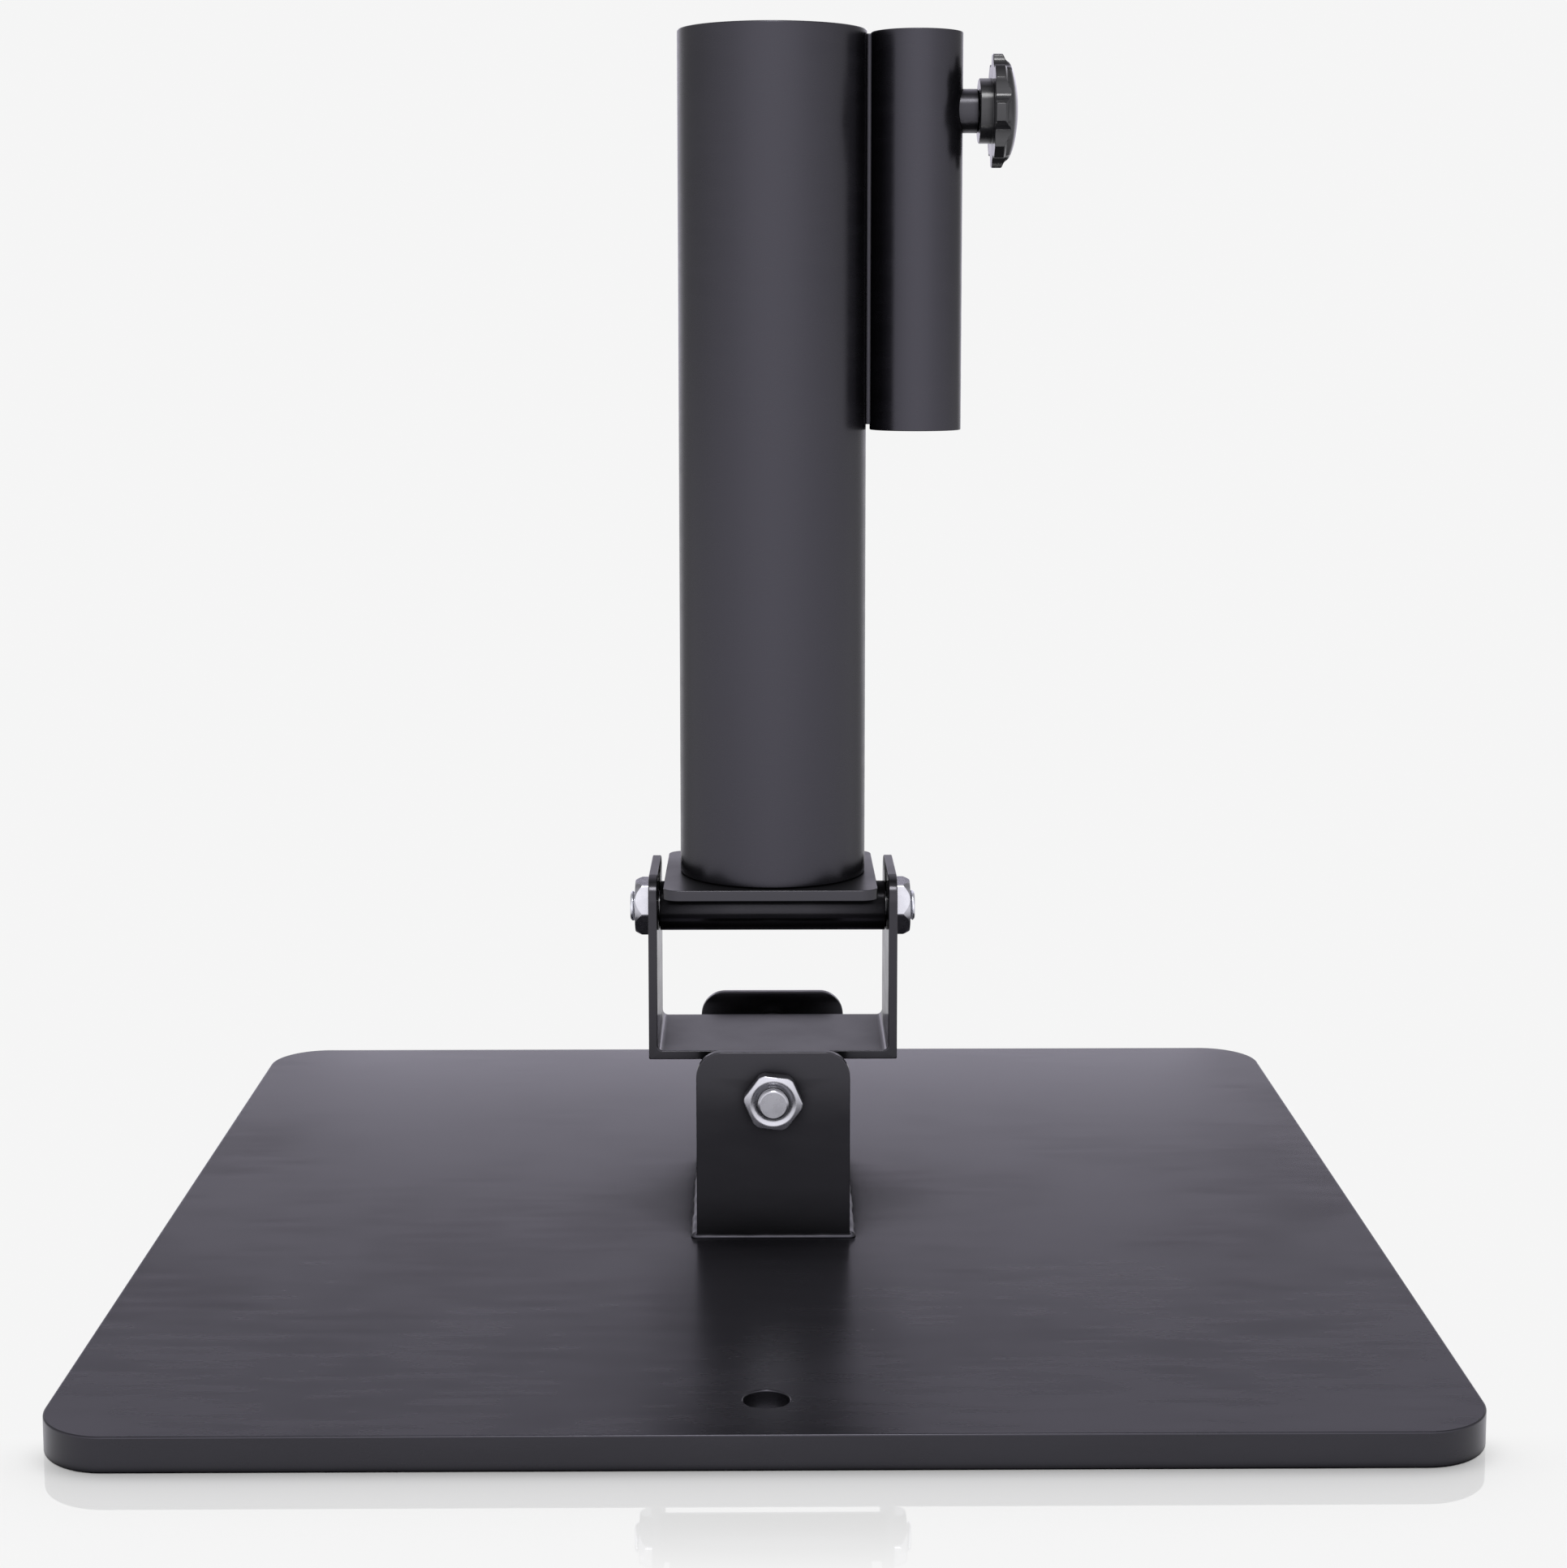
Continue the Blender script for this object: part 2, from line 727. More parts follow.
def dress(node: str, mesh: bpy.types.Mesh, finish: Finish) -> bpy.types.Object:
    """Puts a mesh into the scene as the finished form of one node.

    Args:
        node: The node that the piece stands for.
        mesh: The piece's surface, in its place.
        finish: The finish of its whole surface.

    Returns:
        The piece.
    """
    shade_by_area(mesh)
    mesh.materials.clear()
    mesh.materials.append(finish.material())
    piece = bpy.data.objects.new(node + "_finished", mesh)
    bpy.context.scene.collection.objects.link(piece)
    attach(piece, BODY_OF[node])
    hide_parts(node)
    LOG.info("%s: %d faces, %s", piece.name, len(mesh.polygons), finish.name)
    return piece


def edge_profile(thickness: float, edge: float, depth: float, steps: int = 4) -> Array:
    """A plate's rim in section: inset and height from the underside round the side to the top.

    Args:
        thickness: The plate's thickness.
        edge: Radius of both edges.
        depth: How far the faces are followed inward before they are closed.
        steps: Facets of an edge.

    Returns:
        Points with shape (2 * (steps + 1), 2).
    """
    corners = np.array([[depth, 0.0], [0.0, 0.0], [0.0, thickness], [depth, thickness]])
    rounded = round_corners(corners, (0.0, edge, edge, 0.0), steps)
    return rounded[steps + 1:-(steps + 1)]


def flat_rings(outline: Array, normals: Array, profile: Array, centre: Array) -> Array:
    """An outline drawn at each step of an edge profile, pushed inward by the step's inset.

    Args:
        outline: The outline's points.
        normals: Its outward normals.
        profile: Inset and height of each step.
        centre: Where the outline's middle stands, at height zero.

    Returns:
        Points with shape (steps, points, 3).
    """
    inset, height = profile[:, None, :1], profile[:, None, 1:]
    flat = outline - inset * normals
    rings = np.concatenate([flat, np.broadcast_to(height, flat[..., :1].shape)], axis=-1)
    return rings + centre


def lathe(name: str, profile: Array, segments: int, centre: Array, axis: Axis) -> bpy.types.Mesh:
    """A body of revolution from a closed loop of radii and heights."""
    grid = revolve(profile[:, :1], profile[:, 1:], circle(segments), centre, axis)
    return closed_ring(name, grid)


@dataclass
class Pipe:
    """A round tube with eased rims.

    Args:
        outer: Outer radius.
        wall: Wall thickness.
        rim: Radius of the rims' edges.
        segments: Facets round the tube.
        rim_facets: Facets of a rim's edge.
    """

    outer: float
    wall: float
    rim: float
    segments: int
    rim_facets: int = 5

    def mesh(self, name: str, low: float, high: float, centre: Array, axis: Axis) -> bpy.types.Mesh:
        """The tube from one height to another.

        Args:
            name: The mesh's name.
            low: Height of the first rim.
            high: Height of the last rim.
            centre: Where the axis has height zero.
            axis: The way the tube runs.

        Returns:
            The mesh.
        """
        inner = self.outer - self.wall
        corners = np.array([[inner, low], [self.outer, low], [self.outer, high], [inner, high]])
        profile = round_corners(corners, (self.rim,) * 4, self.rim_facets)
        return lathe(name, profile, self.segments, centre, axis)


@dataclass
class HexNut:
    """A hexagon nut with a chamfered and dished outer face.

    Args:
        across_flats: Size over two flats.
        thickness: Height from the seat to the outer face.
        bore: Radius of the bore.
        outer_reach: How far the outer chamfer reaches inward from a corner.
        outer_rise: How far it reaches down a corner.
        inner_reach: The same inward reach at the seat.
        inner_rise: The same height at the seat.
        dish_radius: Radius of the dish's rim.
        dish_depth: Depth of the dish at the bore.
        blunt: Share of the corner radius that the blunted corners keep.
        face_edge: Radius between the sides and the chamfer.
        corner_blend: Length over which the flats turn into a blunted corner.
        seat_edge: Radius between the seat and its chamfer.
        foot_edge: Radius between that chamfer and the sides.
        crown_edge: Radius between the outer chamfer and the outer face.
        dish_edge: Radius of the dish's rim in section.
        bore_edge: Radius at the bore's outer end.
        band: Width of the narrow strips that keep the flats' shading flat.
        segments: Facets round the nut.
    """

    across_flats: float = 17.0 * MM
    thickness: float = 5.0 * MM
    bore: float = 4.95 * MM
    outer_reach: float = 1.4 * MM
    outer_rise: float = 2.6 * MM
    inner_reach: float = 0.3 * MM
    inner_rise: float = 0.9 * MM
    dish_radius: float = 7.05 * MM
    dish_depth: float = 0.9 * MM
    blunt: float = 0.985
    face_edge: float = 0.22 * MM
    corner_blend: float = 0.1 * MM
    seat_edge: float = 0.1 * MM
    foot_edge: float = 0.15 * MM
    crown_edge: float = 0.3 * MM
    dish_edge: float = 0.12 * MM
    bore_edge: float = 0.1 * MM
    band: float = 0.2 * MM
    segments: int = 240

    def mesh(self, name: str, seat: Array, axis: Axis, sign: int, turn: float) -> bpy.types.Mesh:
        """The nut on its seat.

        The side's radius at an angle is half the size over flats divided by the cosine of the
        angle from the nearest flat, eased into the blunted corner. The side ends where it meets
        the chamfer cones, whose height falls evenly with the radius.

        Args:
            name: The mesh's name.
            seat: Middle of the face that the nut lies on.
            axis: The axis that the nut turns on.
            sign: Which way along the axis the outer face looks.
            turn: How far the nut is turned, in radians.

        Returns:
            The mesh.
        """
        angle = circle(self.segments)
        corner = self.across_flats / math.sqrt(3)
        sixth = np.pi / 3
        from_flat = (angle - turn) % sixth - sixth / 2
        flat = self.across_flats / 2 / np.cos(from_flat)
        side = smooth_least(flat, corner * self.blunt, self.corner_blend)
        crown, foot = corner - self.outer_reach, corner - self.inner_reach
        top = self.thickness - self.outer_rise * np.maximum(side - crown, 0.0) / self.outer_reach
        bottom = self.inner_rise * np.maximum(side - foot, 0.0) / self.inner_reach
        zero, full = np.zeros_like(side), np.full_like(side, self.thickness)
        radii = [zero + self.bore, np.minimum(side, foot), side, side, side, side, zero + crown,
                 zero + self.dish_radius, zero + self.bore]
        heights = [zero, zero, bottom, bottom + self.band, top - self.face_edge - self.band, top,
                   full, full, full - self.dish_depth]
        eased = [0.0, self.seat_edge, self.foot_edge, 0.0, 0.0, self.face_edge, self.crown_edge,
                 self.dish_edge, self.bore_edge]
        profile = eased_profiles(radii, heights, eased)
        return closed_ring(name, revolve(profile[..., 0], sign * profile[..., 1], angle, seat, axis))


@dataclass
class ThreadedStud:
    """A stud with a rolled thread on its ends and chamfered tips.

    Args:
        radius: Radius over the thread's crests.
        pitch: Advance of the thread in one turn.
        chamfer: Size of the tips' chamfer.
        thread_depth: Depth of the thread.
        thread_length: Length of the thread from each tip.
        segments: Facets round the stud.
        rows_per_pitch: Rows of points in one turn of the thread.
    """

    radius: float
    pitch: float
    chamfer: float
    thread_depth: float
    thread_length: float
    segments: int = 72
    rows_per_pitch: int = 10

    def mesh(self, name: str, low: float, high: float, centre: Array, axis: Axis) -> bpy.types.Mesh:
        """The stud from one height to another.

        The radius is the crest's, less the thread's depth times a triangle wave of the height
        in pitches minus the angle in turns. The wave fades out at the chamfer and on the shank.
        An inner ring on each tip keeps its shading flat.

        Args:
            name: The mesh's name.
            low: Height of the first tip.
            high: Height of the last tip.
            centre: Where the axis has height zero.
            axis: The way the stud runs.

        Returns:
            The mesh.
        """
        step = self.pitch / self.rows_per_pitch
        threaded = min(self.thread_length, (high - low) / 2)
        first = np.arange(low + self.chamfer, low + threaded, step)
        last = np.arange(high - threaded, high - self.chamfer, step)
        lower_tip, upper_tip = [low, low, low], [high - self.chamfer, high, high, high]
        height = np.concatenate([lower_tip, first, last, upper_tip])[:, None]
        angle = circle(self.segments)
        phase = height / self.pitch - angle / (2 * np.pi)
        wave = np.abs(2 * (phase - np.floor(phase + 0.5)))
        from_tip = np.minimum(height - low, high - height)
        fade = np.clip((from_tip - self.chamfer) / (self.pitch / 2), 0.0, 1.0)
        fade = fade * np.clip((threaded - from_tip) / (self.pitch / 2), 0.0, 1.0)
        tip = np.minimum(from_tip, self.chamfer) - self.chamfer
        radius = self.radius + tip - self.thread_depth * wave * fade
        radius[[0, -1]] = 0.0
        radius[[1, -2]] -= self.chamfer / 2
        grid = revolve(radius, height, angle, centre, axis)
        return Skin(name).add(grid, wrap_columns=True).mesh()


@dataclass
class Channel:
    """A steel strip folded into a U, with rounded corners on its two upright walls.

    Args:
        wall: Thickness of the strip.
        fillet: Radius inside the folds.
        fold: Radius outside the folds.
        corner: Radius of the upright walls' corners.
        edge: Radius of the strip's edges.
        hole: Radius of the pivot holes.
        steps: Rows of points along a corner or a fold.
        hole_segments: Facets round a pivot hole.
    """

    wall: float = 2.8 * MM
    fillet: float = 2.0 * MM
    fold: float = 0.5 * MM
    corner: float = 8.0 * MM
    edge: float = 0.35 * MM
    hole: float = 5.2 * MM
    steps: int = 12
    hole_segments: int = 64

    def rows(self, span: float, depth: float, height: float) -> tuple[Array, Array, Array, Array]:
        """The strip's rows from the top of one wall down, across and up to the top of the other.

        A row near a wall's top is narrower, by the circle of the corner's radius. At a fold the
        outer side follows a small arc and the inner side an arc of the fillet's radius.

        Args:
            span: Width over both walls.
            depth: Width of the strip.
            height: Height of the walls.

        Returns:
            Outer and inner places (across, up), half widths, and rim normals (up, along).
        """
        half, base = span / 2, self.wall + self.fillet
        turn = np.linspace(0.0, np.pi / 2, self.steps + 1)
        rise = height - self.corner + self.corner * np.cos(turn)
        wide = depth / 2 - self.corner + self.corner * np.sin(turn)
        wall_outer = np.stack([np.full_like(rise, -half), rise], axis=-1)
        wall_inner = wall_outer + np.array([self.wall, 0.0])
        wall_normal = np.stack([np.cos(turn), np.sin(turn)], axis=-1)

        middle = np.array([-half + base, base])
        inward = -np.stack([np.cos(turn), np.sin(turn)], axis=-1)
        fold_inner = middle + self.fillet * inward
        straight = base - self.fold
        row, bends = np.arange(self.steps + 1), (0, 1, self.steps - 1, self.steps)
        along = np.interp(row, bends, (-straight, 0.0, 1.0, 1.0 + straight))
        swing = np.clip(along, 0.0, 1.0) * np.pi / 2
        outward = -np.stack([np.cos(swing), np.sin(swing)], axis=-1)
        arc = np.array([-half + self.fold, self.fold]) + self.fold * outward
        before, beyond = np.maximum(-along, 0.0), np.maximum(along - 1.0, 0.0)
        fold_outer = arc + np.stack([beyond, before], axis=-1)

        outer = np.concatenate([wall_outer, fold_outer])
        inner = np.concatenate([wall_inner, fold_inner])
        full = np.full(self.steps + 1, depth / 2)
        widths = np.concatenate([wide, full])
        sideways = np.tile([0.0, 1.0], (self.steps + 1, 1))
        normals = np.concatenate([wall_normal, sideways])
        mirror = np.array([-1.0, 1.0])
        return (
            np.concatenate([outer, outer[::-1] * mirror]),
            np.concatenate([inner, inner[::-1] * mirror]),
            np.concatenate([widths, widths[::-1]]),
            np.concatenate([normals, normals[::-1]]),
        )

    def mesh(self, node: str, axle: str, across: int, seat: float) -> bpy.types.Mesh:
        """The folded strip that fills a node's box, with a hole for an axle through both walls.

        The rim is the strip's outline in rows and its edge profile in columns. A place in the
        wall is the outer place moved towards the inner one by its depth in the wall.

        Args:
            node: The node that the channel stands for.
            axle: The node of the axle.
            across: 0 if the walls stand apart along x, 1 if along y.
            seat: How far below the box the channel reaches, to the face that carries it.

        Returns:
            The mesh.
        """
        box = NodeBox(node)
        centre = np.array([*box.centre[:2], box.low[2] - seat])
        span, height = box.size[across], box.size[2] + seat
        outer, inner, widths, normals = self.rows(span, box.size[1 - across], height)
        inset, into = edge_profile(self.wall, self.edge, 2 * self.edge).T
        place = outer[:, None] + (inner - outer)[:, None] * (into / self.wall)[:, None]
        up = place[..., 1] - inset * normals[:, :1]
        along = widths[:, None] - inset * normals[:, 1:]
        near = self.laid(place[..., 0], -along, up, across) + centre
        far = self.laid(place[..., 0], along, up, across) + centre
        skin = Skin(node).add(np.concatenate([near, far[::-1]]), wrap_rows=True)
        skin.add(np.stack([near[:, 0], far[:, 0]], axis=1))
        skin.add(np.stack([near[:, -1], far[:, -1]], axis=1))
        reach = span / 2 + 2 * self.wall
        bar = np.array([[0.0, -reach], [self.hole, -reach], [self.hole, reach], [0.0, reach]])
        axis, pivot = (Axis.X, Axis.Y)[across], NodeBox(axle).centre[2] - centre[2]
        cutter = lathe("hole", bar, self.hole_segments, centre + np.array([0.0, 0.0, pivot]), axis)
        return cut(skin.mesh(), cutter)

    @staticmethod
    def laid(place: Array, along: Array, up: Array, across: int) -> Array:
        """Points from places across, along and up, with the first two swapped if across is 1."""
        pair = (place, along) if across == 0 else (along, place)
        return np.stack([*pair, up], axis=-1)


@dataclass
class SleeveWeld:
    """A fillet weld along a sleeve that lies under a flat face.

    Args:
        reach: How far the weld reaches out on the face.
        wrap: Where it ends on the sleeve, as an angle from the top.
        start: Where it starts on the sleeve.
        bulge: How far its front bows outward.
        swell: Share by which the ripples change its size.
        ripples: Wavelengths of the ripples.
        phase: Where the ripples start.
        rows: Sections along the weld.
        sleeve_points: Points of a section on the sleeve.
        front_facets: Facets of a section's front.
    """

    reach: float = 9.4 * MM
    wrap: float = math.radians(63)
    start: float = math.radians(18)
    bulge: float = 0.35 * MM
    swell: float = 0.05
    ripples: tuple[float, ...] = (1.9 * MM, 6.1 * MM, 14.0 * MM)
    phase: float = 1.3
    rows: int = 90
    sleeve_points: int = 7
    front_facets: int = 8

    def section(self, radius: float, face: float) -> Array:
        """The weld in section: along the sleeve, along the face and back over its front.

        Args:
            radius: Outer radius of the sleeve.
            face: Height of the flat face above the sleeve's axis.

        Returns:
            Points (sideways, up) with shape (points, 2).
        """
        angle = np.linspace(self.wrap, self.start, self.sleeve_points)
        under = radius * np.stack([np.sin(angle), np.cos(angle)], axis=-1)
        seat = np.array([[radius * math.sin(self.start), face], [self.reach, face]])
        outer_end, inner_end = seat[1], under[0]
        share = np.linspace(0.0, 1.0, self.front_facets + 1)[1:-1, None]
        inward = unit(np.array([inner_end[1] - outer_end[1], outer_end[0] - inner_end[0]]))
        front = outer_end + share * (inner_end - outer_end)
        return np.concatenate([under, seat, front - self.bulge * np.sin(np.pi * share) * inward])

    def mesh(self, name: str, radius: float, face: float, low: Array, high: Array, side: int,
             across: int) -> bpy.types.Mesh:
        """The weld between two ends, each section swollen or shrunk by the ripples.

        Args:
            name: The mesh's name.
            radius: Outer radius of the sleeve.
            face: Height of the flat face above the sleeve's axis.
            low: Point of the axis where the weld starts.
            high: Point of the axis where it ends.
            side: Which side of the sleeve it lies on.
            across: 0 if the weld's sideways direction is x, 1 if y.

        Returns:
            The mesh.
        """
        length = float(np.linalg.norm(high - low))
        along = np.linspace(0.0, length, self.rows)
        swell = 1.0 + self.swell * waves(along, self.ripples, self.phase)
        section = self.section(radius, face)
        middle = section.mean(axis=0)
        sections = middle + (section - middle) * swell[:, None, None]
        sections[..., 1] = np.minimum(sections[..., 1], face)
        ends = np.broadcast_to(middle, sections[:1].shape)
        sections = np.concatenate([ends, sections, ends])
        along = np.concatenate([[0.0], along, [length]])
        line = low + (high - low) * (along / length)[:, None]
        offset = np.zeros((*sections.shape[:2], 3))
        offset[..., across] = side * sections[..., 0]
        offset[..., 2] = sections[..., 1]
        return Skin(name).add(line[:, None] + offset, wrap_columns=True).mesh()


@dataclass
class Pivot:
    """A pivot: a stud with a nut on each end, and a sleeve round it that is welded to a flat face.

    Args:
        name: The first word of the names of the pivot's nodes.
        along: 0 if the pivot's axis runs along x, 1 if along y.
        nut: The nuts' shape.
        axle_radius: Radius over the stud's thread.
        pitch: Advance of the thread in one turn.
        chamfer: Size of the stud's end chamfers.
        thread_depth: Depth of the thread.
        thread_length: Length of the thread from each end.
        sleeve_wall: Wall of the sleeve.
        sleeve_edge: Radius of the sleeve's edges.
        sleeve_segments: Facets round the sleeve.
        sleeve_fillet: The shape of the sleeve's welds.
    """

    name: str
    along: int
    nut: HexNut = field(default_factory=HexNut)
    axle_radius: float = 4.9 * MM
    pitch: float = 1.5 * MM
    chamfer: float = 0.55 * MM
    thread_depth: float = 0.5 * MM
    thread_length: float = 7.0 * MM
    sleeve_wall: float = 2.8 * MM
    sleeve_edge: float = 0.25 * MM
    sleeve_segments: int = 96
    sleeve_fillet: SleeveWeld = field(default_factory=SleeveWeld)

    @property
    def axis(self) -> Axis:
        """The way the pivot's turned pieces point."""
        return (Axis.X, Axis.Y)[self.along]

    def axle(self) -> bpy.types.Mesh:
        """The stud, as long as its node's box.

        Returns:
            The mesh.
        """
        box = NodeBox(self.name + "_axle")
        half = box.size[self.along] / 2
        stud = ThreadedStud(
            self.axle_radius, self.pitch, self.chamfer, self.thread_depth, self.thread_length
        )
        return stud.mesh(box.node, -half, half, box.centre, self.axis)

    def seated_nut(self, node: str, channel: str, side: int, turn: float) -> bpy.types.Mesh:
        """A nut seated on the outside of a channel's wall.

        Args:
            node: The nut's node.
            channel: The channel's node.
            side: -1 for the left or front wall and 1 for the right or back wall.
            turn: How far the nut is turned.

        Returns:
            The mesh.
        """
        wall = NodeBox(channel)
        seat = NodeBox(self.name + "_axle").centre
        seat[self.along] = (wall.low if side < 0 else wall.high)[self.along]
        outward = side * int(self.axis.value[2][self.along])
        return self.nut.mesh(node, seat, self.axis, outward, turn)

    def sleeve(self) -> bpy.types.Mesh:
        """The sleeve round the stud.

        Returns:
            The mesh.
        """
        box = NodeBox(self.name + "_sleeve")
        half = box.size[self.along] / 2
        outer = box.size[1 - self.along] / 2
        pipe = Pipe(outer, self.sleeve_wall, self.sleeve_edge, self.sleeve_segments)
        return pipe.mesh(box.node, -half, half, box.centre, self.axis)

    def sleeve_weld(self, node: str, carried: str, side: int) -> bpy.types.Mesh:
        """A weld between the sleeve and the underside of what it carries.

        Args:
            node: The weld's node.
            carried: The node of the piece above the sleeve.
            side: -1 for the left or front side and 1 for the right or back side.

        Returns:
            The mesh.
        """
        sleeve, weld, across = NodeBox(self.name + "_sleeve"), NodeBox(node), 1 - self.along
        low, high = sleeve.centre, sleeve.centre
        low[self.along], high[self.along] = weld.low[self.along], weld.high[self.along]
        face = NodeBox(carried).low[2] - sleeve.centre[2]
        return self.sleeve_fillet.mesh(node, sleeve.size[across] / 2, face, low, high, side, across)


@dataclass
class FootWeld:
    """The weld that runs round the bracket's foot.

    Args:
        size: Leg of the weld where it is largest.
        lean: Share by which it is smaller in front and behind than at the sides.
        rise: Height of the weld as a share of its leg.
        sink: How far it reaches into the bracket, as a share of its leg.
        swell: Share by which the ripples change its size.
        ripples: Wavelengths of the ripples.
        phase: Where the ripples start.
        corner: Radius of the outline's corners.
        corner_facets: Facets of the outline's corners.
        side_facets: Facets of its sides.
        front_points: Points of a section's front.
    """

    size: float = 2.1 * MM
    lean: float = 0.42
    rise: float = 0.92
    sink: float = 0.1
    swell: float = 0.14
    ripples: tuple[float, ...] = (9.3 * MM, 19.0 * MM, 43.0 * MM)
    phase: float = 0.7
    corner: float = 0.2 * MM
    corner_facets: int = 10
    side_facets: int = 70
    front_points: int = 9

    def mesh(self, node: str, channel: str, ground: str) -> bpy.types.Mesh:
        """The weld: a quarter-round section carried round the foot, its size rippling on the way.

        Args:
            node: The weld's node.
            channel: The node of the bracket.
            ground: The node of the plate under it.

        Returns:
            The mesh.
        """
        box = NodeBox(channel)
        outline, normals = rounded_rectangle(
            *box.size[:2], self.corner, self.corner_facets, self.side_facets
        )
        step = np.linalg.norm(np.diff(outline, axis=0, append=outline[:1]), axis=-1)
        ripple = waves(np.cumsum(step), self.ripples, self.phase)
        swollen = self.size * (1.0 - self.swell + self.swell * ripple)
        size = swollen * (1.0 - self.lean * np.abs(normals[:, 1]))
        turn = np.linspace(0.0, np.pi / 2, self.front_points)
        reach = np.concatenate([[-self.sink], np.cos(turn), [-self.sink]])
        rise = np.concatenate([[0.0], np.sin(turn) * self.rise, [self.rise]])
        out = size * reach[:, None]
        height = size * rise[:, None] + NodeBox(ground).high[2]
        flat = box.centre[:2] + outline + out[..., None] * normals
        return closed_ring(node, np.concatenate([flat, height[..., None]], axis=-1))


@dataclass
class Base:
    """The plate with its bracket, the weld round the bracket's foot, the lower axle and its nuts.

    Args:
        plate_corner: Radius of the plate's corners.
        plate_edge: Radius of the plate's edges.
        corner_facets: Facets of the plate's corners.
        side_facets: Facets of its sides.
        hole_radius: Radius of the anchor hole.
        hole_inset: Distance of the anchor hole from the plate's front edge.
        seat: Gap that the frame leaves between the bracket and the plate.
        nut_turn: How far the nuts are turned.
        channel: The bracket's shape.
        foot_weld: The shape of the weld round the bracket's foot.
        pivot: The lower axle and its nuts, whose corners are blunter than the upper ones'.
    """

    plate_corner: float = 20.0 * MM
    plate_edge: float = 0.55 * MM
    corner_facets: int = 24
    side_facets: int = 16
    hole_radius: float = 6.3 * MM
    hole_inset: float = 23.2 * MM
    seat: float = 0.3 * MM
    nut_turn: float = math.radians(6.7)
    channel: Channel = field(default_factory=Channel)
    foot_weld: FootWeld = field(default_factory=FootWeld)
    pivot: Pivot = field(default_factory=lambda: Pivot("lower", 1, nut=HexNut(
        outer_reach=2.5 * MM, outer_rise=0.5 * MM, face_edge=0.8 * MM, blunt=0.95,
    )))

    def build(self) -> None:
        """Builds and dresses every piece of the base."""
        dress("base_plate", self.plate(), PLATE_COAT)
        bracket = self.channel.mesh("base_bracket", "lower_axle", 1, self.seat)
        dress("base_bracket", bracket, FRAME_COAT)
        weld = self.foot_weld.mesh("bracket_weld", "base_bracket", "base_plate")
        dress("bracket_weld", weld, WELD_COAT)
        dress("lower_axle", self.pivot.axle(), ZINC)
        for node, side in (("lower_nut_front", -1), ("lower_nut_rear", 1)):
            nut = self.pivot.seated_nut(node, "base_bracket", side, side * self.nut_turn)
            dress(node, nut, ZINC)

    def plate(self) -> bpy.types.Mesh:
        """The plate: rings from its outline to the anchor hole, over the top and underneath.

        Returns:
            The mesh.
        """
        box = NodeBox("base_plate")
        outline, normals = rounded_rectangle(
            *box.size[:2], self.plate_corner, self.corner_facets, self.side_facets
        )
        profile = edge_profile(box.size[2], self.plate_edge, 4 * self.plate_edge)
        ground = np.array([*box.centre[:2], box.low[2]])
        rim = flat_rings(outline, normals, profile, ground)
        hole = np.array([box.centre[0], box.low[1] + self.hole_inset])
        outward = unit(outline + box.centre[:2] - hole)
        mouth = edge_profile(box.size[2], self.plate_edge, 2 * self.plate_edge)[::-1]
        ring = hole + (self.hole_radius + mouth[:, None, :1]) * outward
        height = np.broadcast_to(mouth[:, None, 1:], ring[..., :1].shape) + box.low[2]
        wall = np.concatenate([ring, height], axis=-1)
        return closed_ring("base_plate", np.concatenate([rim, wall]))


@dataclass
class SwingYoke:
    """The yoke with the sleeve welded under it, the upper axle and its nuts.

    Args:
        nut_turn: How far the side nuts are turned.
        channel: The yoke's shape.
        lower: The lower pivot, whose sleeve the yoke swings on.
        upper: The upper pivot, whose axle the yoke carries.
    """

    nut_turn: float = math.radians(5.5)
    channel: Channel = field(default_factory=Channel)
    lower: Pivot = field(default_factory=lambda: Pivot("lower", 1))
    upper: Pivot = field(default_factory=lambda: Pivot("upper", 0))

    def build(self) -> None:
        """Builds and dresses every piece of the yoke."""
        dress("yoke", self.channel.mesh("yoke", "upper_axle", 0, 0.0), YOKE_COAT)
        dress("lower_sleeve", self.lower.sleeve(), FRAME_COAT)
        for node, side in (("lower_sleeve_weld_left", -1), ("lower_sleeve_weld_right", 1)):
            dress(node, self.lower.sleeve_weld(node, "yoke", side), WELD_COAT)
        dress("upper_axle", self.upper.axle(), BRIGHT_ZINC)
        for node, side in (("upper_nut_left", -1), ("upper_nut_right", 1)):
            dress(node, self.upper.seated_nut(node, "yoke", side, self.nut_turn), ZINC)


